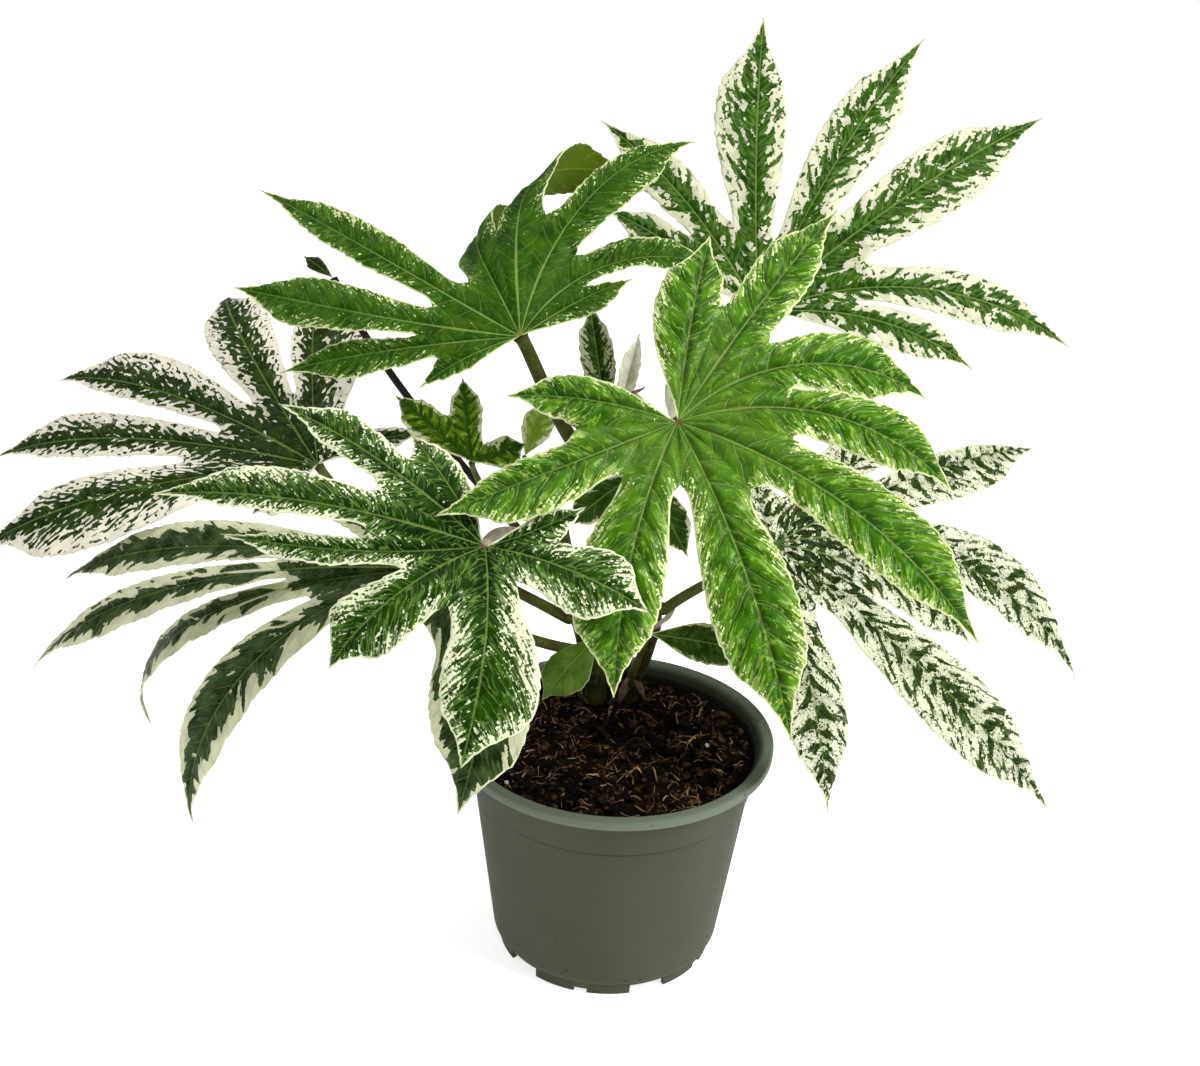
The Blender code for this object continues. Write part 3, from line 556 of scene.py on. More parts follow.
def stalk_finish(name, dark, light, blotch, scar_gap=0.0):
    """Green or woody skin: streaked along and blotched, and on a stem ringed by corky scars."""
    made, tree, shader = new_material(name, 0.5)
    shader.inputs["Specular IOR Level"].default_value = 0.08
    place = add(tree, "ShaderNodeTexCoord").outputs["Object"]
    along = add(tree, "ShaderNodeSeparateXYZ", {0: add(tree, "ShaderNodeUVMap", uv_map="along").outputs[0]})
    around = calc(tree, "MULTIPLY", along.outputs[1], 0.05)
    drawn = add(tree, "ShaderNodeCombineXYZ", {0: calc(tree, "MULTIPLY", along.outputs[0], 0.12), 1: around})
    streaks = grain(tree, drawn.outputs[0], 900.0, 3.0)
    clouds = grain(tree, place, 90.0, 3.0)
    flecks = span(tree, grain(tree, place, 700.0, 2.0), 0.62, 0.70, 0.0, 0.6)
    colour = tint(tree, span(tree, streaks, 0.3, 0.7), dark, light)
    colour = tint(tree, span(tree, clouds, 0.45, 0.65, 0.0, 0.8), colour, blotch)
    colour = tint(tree, flecks, colour, tuple(1.6 * tone for tone in light[:3]) + (1.0,))
    height = streaks
    if scar_gap:
        ring = calc(tree, "PINGPONG", along.outputs[0], 0.5 * scar_gap)
        scar = span(tree, ring, 0.0004, 0.0016, 1.0, 0.0)
        colour = tint(tree, calc(tree, "MULTIPLY", scar, 0.7), colour, scar_tone)
        height = calc(tree, "ADD", streaks, scar)
    tree.links.new(colour, shader.inputs["Base Color"])
    relief(tree, shader, height, 0.35, 0.0006)
    return made


for name, stem in stems.items():
    skin = stalk_finish(f"{name}_skin", *stem["colours"], scar_rings)
    piece = new_piece(f"{name}_bark", stem_shape(stem), [skin])
    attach(piece, "root")
    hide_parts(name)

# The leaves are palmate blades, glossy above and paler below, each with a lobe for every main vein.
# The lobes have shallow teeth, and green tissue gives way to cream towards their margins. Each blade
# is made as one sheet that is bent and puckered, and gets its thickness last.
blade_thickness = 0.0005
vein_tone = (0.25, 0.37, 0.08, 1.0)
tooth_pitch = 0.0085
tooth_depth = 0.0011
widest_share = 0.58
rib_steps = 40
web_rows = 20
row_length = 0.0016
rib_shares = (0.0, 0.035, 0.09, 0.18, 0.30, 0.44, 0.58, 0.72, 0.85, 0.94, 1.0)


class Lobe(NamedTuple):
    """A lobe, by its main vein, with its angles in degrees."""

    bearing: float  # which way it leaves the hub, round from the leaf's heading
    length: float
    droop: float  # how far it is bent down at its tip
    sweep: float  # how far it is turned aside at its tip
    rise: float  # how steeply it rises before it bends
    widths: tuple  # how wide it is to the left and right of its vein, as shares of its length
    skew: float = 0.0  # how far the line it bends about is off square


class Leaf(NamedTuple):
    """A leaf: how its blade is placed, the stalk it stands on, and its lobes and notches."""

    name: str
    hub: tuple  # where its main veins meet
    lean: float  # how far its face leans from level, in degrees
    toward: float  # to which side it leans, round from +X
    heading: float  # how far it is turned about its face
    stem: str  # the stem its stalk stands on, if it has a stalk
    height: float  # where on the stem
    thick: float  # the stalk's radius
    lobes: list
    notches: list  # how far from the hub each is
    fold: float  # how steeply a lobe's sides fall from its vein, or rise if under 0


leaves = [
    Leaf("leaf_top", (-62, 20, 379), 42, -90, 95, "stem_right", 276, 3.8, [
        Lobe(-56, 74, 20, -8, 5, (0.07, 0.14)),
        Lobe(-32, 138, 35, -70, 5, (0.11, 0.065)),
        Lobe(-14, 177, 45, -50, 15, (0.055, 0.105)),
        Lobe(3, 188, 190, -6, 22, (0.118, 0.118), -42),
        Lobe(25, 150, 200, 0, 16, (0.13, 0.13), -34),
        Lobe(61, 182, 30, -12, 10, (0.055, 0.08)),
        Lobe(87, 170, 30, -24, 8, (0.12, 0.125)),
        Lobe(97, 137, 30, -6, 5, (0.10, 0.10)),
        Lobe(110, 64, 25, 12, 5, (0.10, 0.10)),
    ], [48, 59, 75, 70, 45, 52, 57, 48], 0.10),
    Leaf("leaf_back", (73, 100, 372), 60, -90, 50, "stem_right", 264, 2.8, [
        Lobe(-40, 138, 30, -42, 5, (0.095, 0.10)),
        Lobe(-25, 200, 30, -55, 5, (0.07, 0.085)),
        Lobe(-5, 212, 20, -14, 5, (0.10, 0.115)),
        Lobe(20, 196, 15, -16, 5, (0.095, 0.105)),
        Lobe(46, 181, 15, -9, 5, (0.155, 0.10)),
        Lobe(70, 153, 20, 22, 5, (0.115, 0.095)),
        Lobe(90, 113, 20, 15, 5, (0.115, 0.115)),
    ], [57, 73, 75, 45, 58, 62], 0.08),
    Leaf("leaf_front", (25, -50, 361), 45, -90, -40, "stem_right", 306, 2.8, [
        Lobe(-155, 92, 20, 15, 5, (0.145, 0.145)),
        Lobe(-111, 136, 13, -6, 6, (0.155, 0.09)),
        Lobe(-71, 152, 45, 22, 5, (0.135, 0.19)),
        Lobe(-22, 178, 30, -13, 5, (0.127, 0.146)),
        Lobe(22, 199, 35, -30, 5, (0.135, 0.09)),
        Lobe(61, 160, 35, -60, 5, (0.15, 0.11)),
        Lobe(87, 150, 35, -70, 5, (0.145, 0.145)),
        Lobe(100, 152, 10, -5, 5, (0.125, 0.105)),
        Lobe(127, 110, 10, -8, 5, (0.19, 0.145)),
    ], [56, 45, 39, 57, 63, 65, 68, 71], 0.12),
    Leaf("leaf_low_front", (-70, -100, 308), 38, -90, -145, "stem_left", 226, 3.2, [
        Lobe(-94, 82, 25, 6, 5, (0.13, 0.13)),
        Lobe(-76, 144, 20, 12, 5, (0.07, 0.125)),
        Lobe(-50, 183, 25, 12, 5, (0.05, 0.11)),
        Lobe(-24, 144, 20, -30, 0, (0.06, 0.06)),
        Lobe(-6, 104, 45, 22, 5, (0.22, 0.28)),
        Lobe(66, 118, 45, -28, 5, (0.28, 0.18)),
        Lobe(133, 92, 12, -21, 9, (0.25, 0.25)),
        Lobe(160, 58, 20, 27, 5, (0.13, 0.13)),
    ], [66, 65, 61, 45, 44, 32, 40], 0.10),
    Leaf("leaf_left", (-181, 50, 283), 35, -110, -180, "stem_left", 192, 2.8, [
        Lobe(-153, 67, 20, -27, 5, (0.115, 0.115)),
        Lobe(-82, 140, 20, -6, 5, (0.12, 0.24)),
        Lobe(-59, 222, 50, -8, 5, (0.10, 0.11)),
        Lobe(-35, 230, 40, 10, 8, (0.05, 0.123)),
        Lobe(-16, 242, 40, 4, 8, (0.055, 0.13)),
        Lobe(3, 231, 40, 0, 8, (0.15, 0.117)),
        Lobe(30, 50, 40, 0, 5, (0.30, 0.30)),
    ], [35, 55, 66, 67, 83, 36], 0.10),
    Leaf("leaf_low_left", (-103, -30, 259), 30, -110, -160, "stem_left", 172, 2.8, [
        Lobe(-62, 110, 30, 0, 5, (0.10, 0.10)),
        Lobe(-31, 262, 50, -2, 9, (0.068, 0.078)),
        Lobe(-22.5, 282, 58, 5, 9, (0.065, 0.05)),
        Lobe(-18, 284, 93, -4, 4, (0.045, 0.045)),
        Lobe(-4, 230, 85, 38, 8, (0.072, 0.10)),
        Lobe(112, 152, 50, -82, 0, (0.18, 0.20)),
    ], [50, 90, 85, 72, 46], 0.10),
    Leaf("leaf_right", (87, 20, 261), 40, -60, -35, "stem_right", 200, 2.7, [
        Lobe(-36, 160, 40, 10, 5, (0.14, 0.12)),
        Lobe(6, 232, 35, 8, 5, (0.13, 0.112)),
        Lobe(42, 150, 40, -21, 5, (0.12, 0.12)),
        Lobe(63, 236, 35, -58, 5, (0.135, 0.09)),
        Lobe(79, 240, 30, -9, 5, (0.04, 0.095)),
        Lobe(98, 150, 25, -16, 5, (0.12, 0.12)),
        Lobe(160, 64, 20, -27, 5, (0.12, 0.12)),
    ], [46, 68, 75, 86, 70, 35], 0.10),
    Leaf("leaf_inner", (7, 0, 311), 50, -90, -90, "stem_right", 288, 1.8, [
        Lobe(-50, 52, 30, 0, 5, (0.20, 0.20)),
        Lobe(3, 44, 40, 0, 5, (0.20, 0.20)),
        Lobe(32, 56, 30, 0, 5, (0.20, 0.20)),
    ], [24, 26], 0.10),
    Leaf("leaf_young_left", (-88, 20, 302), 45, -90, 110, "stem_left", 238, 1.7, [
        Lobe(-84, 34, 30, 0, 5, (0.30, 0.30)),
        Lobe(-10, 55, 20, 0, 5, (0.17, 0.17)),
        Lobe(29, 64, 25, 0, 5, (0.17, 0.17)),
    ], [16, 34], 0.20),
    Leaf("leaf_young_pale", (-60, 50, 294), 60, -90, 70, "stem_left", 245, 1.4, [
        Lobe(1, 36, 10, 0, 5, (0.26, 0.26)),
    ], [], 0.30),
    Leaf("leaf_young_far", (-173, 70, 391), 40, -90, 150, "stem_left", 222, 2.1, [
        Lobe(-8, 24, 20, 0, 5, (0.17, 0.17)),
    ], [], 0.10),
    Leaf("leaf_shoot", (-12.0, 49, 314.0), 70, -90, 101, None, 0, 0, [
        Lobe(0, 75, 5, 0, 0, (0.13, 0.13)),
    ], [], -0.35),
    Leaf("leaf_shoot_small", (-8.2, 52, 315.3), 80, -90, 78, None, 0, 0, [
        Lobe(0, 56, 5, 0, 0, (0.10, 0.10)),
    ], [], -0.40),
    Leaf("leaf_base_left", (-12, 24, 193), 35, -120, -130, "stem_left", 148, 1.5, [
        Lobe(-6, 51, 20, 0, 4, (0.30, 0.30)),
    ], [], 0.15),
    Leaf("leaf_base_right", (17, 30, 193), 40, -90, -10, "stem_right", 146, 1.5, [
        Lobe(2, 66, 22, 0, 8, (0.20, 0.20)),
    ], [], 0.15),
]


class Look(NamedTuple):
    """What a blade looks like. It is cream where the sum of its pattern's parts is over 0."""

    slot: str
    dark: tuple  # the darker green
    light: tuple  # the lighter green
    cream: tuple
    rim: float  # the pattern's value at the margin
    core: float  # its value inside, from reach or depth on
    reach: float = 0.9  # a share of the way from the margin to the main vein
    depth: float = 0.030  # a distance from the margin
    cloud: float = 0.2  # how much the largest patches add or take
    blot: float = 0.5  # and blots
    size: float = 200.0  # how many blots fit in a metre
    stretch: float = 0.8  # 1 for round blots, and less if they are drawn out along the side veins
    dash: float = 0.4  # how much small drawn-out patches add or take
    dot: float = 0.4  # and the smallest patches
    spots: float = 0.0  # how much small round marks take
    net: float = 0.0  # how much a net of fine lines takes
    tip: float = 1.5  # how much greener the lobes' tips are
    # The darkening round the hub is partly the leaf's own tone and partly painted shade, as cast by leaves
    # above.
    hub: float = 0.0  # how much greener and darker it is round the hub
    edge: float = 0.0008  # how wide the clean cream edge is
    thread: float = 0.3  # how strongly thin pale lines cross the green
    half: float = 0.3  # how much of the green is mottled with the pale tone
    calm: float = 0.7  # how far the mottles keep from the main veins
    # The darkening beside the veins is partly the leaf's own tone and partly painted shade along the sunken
    # veins.
    vein_band_shade: float = 0.3  # how much darker it is beside the veins
    even: float = 0.0  # how much less of thread, half and band there is round the hub
    pale: tuple = (0.20, 0.32, 0.08)  # tone of the mottles
    heart: tuple = (0.13, 0.06, 0.03)  # tone of the hub
    main: float = 0.5  # how pale the main veins are near the hub, or how dark if under 0
    far: float = 0.4  # and near the tips
    side: float = 0.1  # and the side veins
    swell: float = 0.0006  # how high the blade stands between its side veins
    pucker: float = 0.0008  # how uneven it is
    pitch: float = 0.013  # how far apart the side veins are
    shine: float = 0.42  # how rough the upper face is
    gloss: float = 0.08  # how much it reflects
    under: tuple = ((0.25, 0.30, 0.17, 1.0), 0.6)  # the lower face's tone, and its share


looks = {
    "leaf_top": Look(
        "blade_green", (0.008, 0.044, 0.001), (0.037, 0.106, 0.001), (0.60, 0.68, 0.33), -0.4, -2.0,
        depth=0.012, blot=0.2, dash=0.5, dot=0.6, hub=0.3, edge=0.0008, thread=0.45, half=0.5, calm=1.0,
        even=0.5, pale=(0.13, 0.26, 0.035), heart=(0.24, 0.26, 0.06), main=0.7, far=0.3, side=0.2,
        swell=0.0008, pucker=0.0010, pitch=0.012, under=((0.072, 0.112, 0.003, 1.0), 0.9),
    ),
    "leaf_back": Look(
        "blade_cream", (0.005, 0.030, 0.001), (0.036, 0.098, 0.003), (0.68, 0.67, 0.49), 2.3, -2.5,
        blot=1.3, size=170.0, stretch=1.1, dash=0.1, dot=0.6, spots=4.0, tip=3.0, edge=0.0010,
        thread=0.5, half=0.4, calm=0.2, pale=(0.16, 0.30, 0.065),
    ),
    "leaf_front": Look(
        "blade_green", (0.017, 0.080, 0.001), (0.064, 0.196, 0.001), (0.70, 0.76, 0.38), -0.15, -2.6,
        depth=0.014, cloud=0.3, blot=0.3, size=300.0, dash=0.6, dot=0.6, hub=0.3, edge=0.0011,
        thread=0.9, half=0.7, calm=1.2, vein_band_shade=1.0, even=0.7, pale=(0.29, 0.49, 0.06), main=0.8, far=0.35,
        side=0.45, swell=0.0036, pucker=0.0012, pitch=0.016, shine=0.32, gloss=0.22,
    ),
    "leaf_low_front": Look(
        "blade_streaked", (0.003, 0.018, 0.001), (0.021, 0.074, 0.001), (0.82, 0.86, 0.58), 0.35, -1.7,
        depth=0.020, cloud=0.3, blot=0.25, dash=0.6, dot=0.65, tip=1.0, hub=1.2, edge=0.0013, thread=1.0,
        half=0.6, vein_band_shade=0.3, pale=(0.155, 0.295, 0.050), main=0.5, far=0.4, side=0.2, swell=0.0011,
        pucker=0.0014, pitch=0.011, shine=0.34, gloss=0.10,
    ),
    "leaf_left": Look(
        "blade_cream", (0.004, 0.014, 0.001), (0.022, 0.054, 0.004), (0.92, 0.87, 0.72), 2.5, -2.5,
        reach=0.85, blot=1.35, size=220.0, stretch=1.2, dash=0.0, dot=0.35, spots=5.0, tip=1.0, edge=0.0014,
        thread=0.6, half=0.2, pale=(0.12, 0.20, 0.06), heart=(0.10, 0.16, 0.04), main=0.5, far=0.4,
    ),
    "leaf_low_left": Look(
        "blade_dark", (0.003, 0.012, 0.001), (0.054, 0.094, 0.028), (0.74, 0.75, 0.50), 1.9, -2.0,
        reach=0.75, depth=0.011, cloud=1.0, blot=0.9, size=130.0, dash=0.15, dot=0.2, tip=1.0,
        edge=0.0012, thread=0.25, half=0.45, pale=(0.13, 0.19, 0.08), main=0.4, far=0.3, side=0.2,
    ),
    "leaf_right": Look(
        "blade_cream", (0.003, 0.012, 0.001), (0.012, 0.032, 0.002), (0.69, 0.71, 0.52), 1.8, -0.3,
        reach=1.0, blot=1.4, size=160.0, stretch=0.8, dash=0.25, dot=0.35, spots=3.0, net=3.0, tip=0.4,
        hub=1.2, edge=0.0010, thread=0.3, half=0.2, heart=(0.10, 0.16, 0.04), main=0.4, far=0.3,
    ),
    "leaf_inner": Look(
        "blade_dark", (0.012, 0.044, 0.002), (0.040, 0.092, 0.010), (0.62, 0.62, 0.42), 1.0, -1.8,
        reach=0.5, depth=0.006, swell=0.0003, pucker=0.0004, pitch=0.008,
    ),
    "leaf_young_left": Look(
        "blade_young", (0.022, 0.070, 0.001), (0.180, 0.310, 0.008), (0.70, 0.71, 0.43), 1.5, -2.2,
        reach=0.45, depth=0.005, cloud=0.8, dash=0.3, edge=0.0012, half=0.8, vein_band_shade=0.9,
        pale=(0.40, 0.54, 0.11), main=-0.8, far=-0.8, side=-0.7, swell=0.0006, pucker=0.0006,
        pitch=0.007, under=((0.30, 0.36, 0.15, 1.0), 0.7),
    ),
    "leaf_young_pale": Look(
        "blade_young", (0.180, 0.310, 0.014), (0.440, 0.550, 0.130), (0.72, 0.74, 0.52), 1.0, -1.5,
        reach=0.5, depth=0.006, half=0.6, vein_band_shade=0.6, swell=0.0003, pucker=0.0003, pitch=0.006,
    ),
    "leaf_young_far": Look(
        "blade_dark", (0.010, 0.022, 0.005), (0.032, 0.052, 0.012), (0.30, 0.28, 0.20), -0.5, -2.5,
        depth=0.002, edge=0.0003, half=0.2, swell=0.0002, pucker=0.0002, pitch=0.006,
    ),
    "leaf_shoot": Look(
        "blade_young", (0.007, 0.028, 0.001), (0.032, 0.068, 0.008), (0.52, 0.52, 0.35), 1.2, -1.2,
        reach=0.7, depth=0.008, half=0.6, swell=0.0002, pucker=0.0003, pitch=0.007,
        under=((0.30, 0.34, 0.20, 1.0), 0.2),
    ),
    "leaf_shoot_small": Look(
        "blade_young", (0.050, 0.080, 0.030), (0.160, 0.180, 0.080), (0.94, 0.91, 0.74), 2.2, 1.6,
        half=0.5, swell=0.0002, pucker=0.0002, pitch=0.007, under=((0.92, 0.90, 0.74, 1.0), 0.9),
    ),
    "leaf_base_left": Look(
        "blade_dark", (0.062, 0.124, 0.008), (0.122, 0.210, 0.030), (0.40, 0.48, 0.22), -0.8, -2.6,
        depth=0.002, edge=0.0004, half=0.2, main=0.5, swell=0.0006, pucker=0.0005, pitch=0.009,
    ),
    "leaf_base_right": Look(
        "blade_dark", (0.010, 0.034, 0.001), (0.036, 0.072, 0.007), (0.56, 0.60, 0.30), 0.8, -2.0,
        reach=0.4, depth=0.005, cloud=0.9, dash=0.2, dot=0.2, half=0.5, swell=0.0005, pucker=0.0005,
        pitch=0.009,
    ),
}


def leaf_place(leaf):
    """Turns a leaf's own axes, with +Z out of its upper face, into the world's."""
    toward = math.radians(leaf.toward)
    lean_axis = Vector((-math.sin(toward), math.cos(toward), 0.0))
    lean = Matrix.Rotation(math.radians(leaf.lean), 4, lean_axis)
    heading = Matrix.Rotation(math.radians(leaf.heading), 4, "Z")
    return Matrix.Translation(pot_place + Vector(leaf.hub) * 0.001) @ lean @ heading


class Rib:
    """Middle vein of a lobe, in the leaf's own axes, as a line that can be read at any distance."""

    def __init__(self, lobe):
        """Steps along the vein, from the hub, as it bends."""
        self.lobe = lobe
        self.length = lobe.length * 0.001
        self.points = [Vector((0.0, 0.0, 0.0))]
        for k in range(rib_steps):
            along = self.axes((k + 0.5) / rib_steps)[0]
            self.points.append(self.points[-1] + self.length / rib_steps * along)

    def axes(self, share):
        """The directions along the lobe, across it to its left, and out of its face."""
        bearing = math.radians(self.lobe.bearing + self.lobe.sweep * share)
        rise = math.radians(self.lobe.rise)
        skew = math.radians(self.lobe.skew)
        flat = Vector((math.cos(bearing), math.sin(bearing), 0.0))
        across = Vector((-flat.y, flat.x, 0.0))
        along = math.cos(rise) * flat + math.sin(rise) * Vector((0.0, 0.0, 1.0))
        hinge = math.cos(skew) * across + math.sin(skew) * along
        bend = Matrix.Rotation(math.radians(self.lobe.droop * share**1.5), 3, hinge)
        along = bend @ along
        across = bend @ across
        return along, across, along.cross(across)

    def at(self, distance):
        """The point at a distance from the hub."""
        place = max(0.0, min(distance / self.length, 1.0)) * rib_steps
        index = min(int(place), rib_steps - 1)
        return self.points[index].lerp(self.points[index + 1], place - index)

    def across_and_out(self, distance):
        """The directions across the lobe, to its left, and out of its face, at a distance."""
        return self.axes(max(0.0, min(distance / self.length, 1.0)))[1:]


def half_width(ribs, index, side, distance):
    """A lobe's half width at a distance from the hub, kept clear of the lobe beside it."""
    rib = ribs[index]
    share = distance / rib.length
    beyond = 1.0 - widest_share
    own = 0.0
    if 0.0 < share < 1.0:
        own = rib.lobe.widths[0 if side > 0 else 1] * rib.length
        own *= (share / widest_share) ** (1.05 * widest_share / beyond)
        own *= ((1.0 - share) / beyond) ** 1.05
        own *= 1.0 - 0.55 * max(0.0, min(1.0, (share - 0.78) / 0.14))
    beside = index + side
    if 0 <= beside < len(ribs):
        room = max(0.5 * (rib.at(distance) - ribs[beside].at(distance)).length - 0.0008, 0.0005)
        own = (max(own, 0.000001) ** -4 + room**-4) ** -0.25
    return own


def edge_point(leaf, ribs, flats, index, side, distance, notch):
    """A point of a lobe's edge beyond its notch, on the bent blade and laid out flat."""
    width = half_width(ribs, index, side, distance)
    share = distance / ribs[index].length
    toothed = max(0.0, min(1.0, (share - 0.38) / 0.1, (0.97 - share) / 0.05))
    place = distance / tooth_pitch + 0.6 * noise.noise(Vector((distance * 60.0, index, side)))
    tooth = toothed * tooth_depth * (place % 1.0 - 0.4)
    points = []
    for rib, line, fold in ((ribs[index], ribs, leaf.fold), (flats[index], flats, 0.0)):
        across, face = rib.across_and_out(distance)
        point = rib.at(distance) + (width + tooth) * (side * across - fold * face)
        if notch > 0.0:
            near = min(1.0, (distance - notch) / 0.010)
            pull = 1.0 - math.sqrt(max(0.0, 1.0 - (1.0 - near) ** 2))
            across, face = rib.across_and_out(notch)
            start = rib.at(notch) + half_width(ribs, index, side, notch) * (side * across - fold * face)
            point += pull * (0.5 * (rib.at(notch) + line[index + side].at(notch)) - start)
        points.append(point)
    return points


def add_half_lobe(shape, leaf, look, ribs, flats, index, side, found):
    """Adds one side of a lobe and notes, for each point, where it lies on the laid-out blade."""
    rib = ribs[index]
    flat = flats[index]
    gaps = [0.0, *[notch * 0.001 for notch in leaf.notches], 0.0]
    own_notch = gaps[index + (side + 1) // 2]
    beside = [gap for gap in (gaps[index], gaps[index + 1]) if gap > 0.0]
    rib_web = sum(beside) / len(beside) if beside else 0.3 * rib.length
    lobe_rows = max(24, round((rib.length - rib_web) / row_length))
    rows = web_rows + lobe_rows
    lines = []
    for row in range(rows + 1):
        web_share = min(1.0, row / web_rows)
        lobe_share = max(0.0, (row - web_rows) / lobe_rows)
        rib_distance = rib_web * web_share + (rib.length - rib_web) * lobe_share
        distance = own_notch * web_share + (rib.length - own_notch) * lobe_share
        if own_notch == 0.0:
            distance = rib_distance
            bent, laid = edge_point(leaf, ribs, flats, index, side, distance, 0.0)
        elif row <= web_rows:
            bent = 0.5 * (rib.at(distance) + ribs[index + side].at(distance))
            laid = 0.5 * (flat.at(distance) + flats[index + side].at(distance))
        else:
            bent, laid = edge_point(leaf, ribs, flats, index, side, distance, own_notch)
        inside = own_notch > 0.0 and row <= web_rows
        if not inside:
            found["edge"].append(laid)
        lines.append((
            rib.at(rib_distance), bent, flat.at(rib_distance), laid, rib_distance, distance, inside,
        ))
    columns = len(rib_shares) - 1
    grid = bmesh.ops.create_grid(shape, x_segments=rows, y_segments=columns, size=0.5)["verts"]
    for corner in grid:
        row = round((corner.co.x + 0.5) * rows)
        column = round((corner.co.y + 0.5) * columns)
        share = rib_shares[column if side > 0 else columns - column]
        middle, bent, flat_middle, laid, rib_distance, distance, inside = lines[row]
        out = bent - middle
        away = share * out.length
        corner.co = middle.lerp(bent, share)
        along = rib_distance + (distance - rib_distance) * share
        face = rib.across_and_out(rib_distance)[1]
        spot = flat_middle.lerp(laid, share)
        vein = along - 0.80 * away - 18.0 * away * away + (0.5 * look.pitch if side > 0 else 0.0)
        vein += 0.2 * look.pitch * noise.noise(spot * 70.0)
        found["points"].append((corner, face, spot, vein, away, share, along, rib.length, inside, side))


def blade_shape(leaf, look, seed):
    """One leaf's upper surface, with its veins sunk and the blade swollen between them."""
    ribs = [Rib(lobe) for lobe in leaf.lobes]
    flats = [Rib(lobe._replace(droop=0, rise=0)) for lobe in leaf.lobes]
    shape = bmesh.new()
    layers = [shape.loops.layers.uv.new(name) for name in ("plane", "lobe", "edge")]
    found = {"points": [], "edge": []}
    for index in range(len(ribs)):
        for side in (-1, 1):
            add_half_lobe(shape, leaf, look, ribs, flats, index, side, found)
    tree = KDTree(len(found["edge"]))
    for k, point in enumerate(found["edge"]):
        tree.insert(point, k)
    tree.balance()
    for corner, face, laid, vein, away, share, along, length, inside, side in found["points"]:
        margin = tree.find(laid)[2]
        calm = 1.0 - share**3 if inside else 1.0
        off_rib = min(1.0, away / 0.004)
        off_edge = min(1.0, margin / 0.006)
        swell = abs(math.sin(math.pi * vein / look.pitch)) ** 0.7 * off_rib * min(1.0, 0.3 + off_edge)
        spot = Vector((laid.x, laid.y, 0.01 * seed))
        uneven = sum(
            weight * noise.noise(spot * scale) for weight, scale in ((0.8, 60.0), (0.6, 130.0), (0.2, 260.0))
        )
        height = look.swell * swell + look.pucker * uneven * off_rib * off_edge
        height -= 0.0004 * math.exp(-((away / 0.0013) ** 2)) * min(1.0, along / 0.006)
        height *= calm
        if not inside:
            fade = min(1.0, margin / 0.001 + 0.2) * share**2 * min(1.0, along / 0.03)
            height += 0.0010 * fade * math.sin(along * 210.0 + 3.0 * seed + side)
        corner.co = corner.co + height * face
        for loop in corner.link_loops:
            loop[layers[0]].uv = laid.xy
            loop[layers[1]].uv = (vein, away)
            loop[layers[2]].uv = (margin, along / length)
    bmesh.ops.remove_doubles(shape, verts=shape.verts, dist=0.00002)
    bmesh.ops.transform(shape, verts=shape.verts, matrix=leaf_place(leaf))
    return shape, ribs


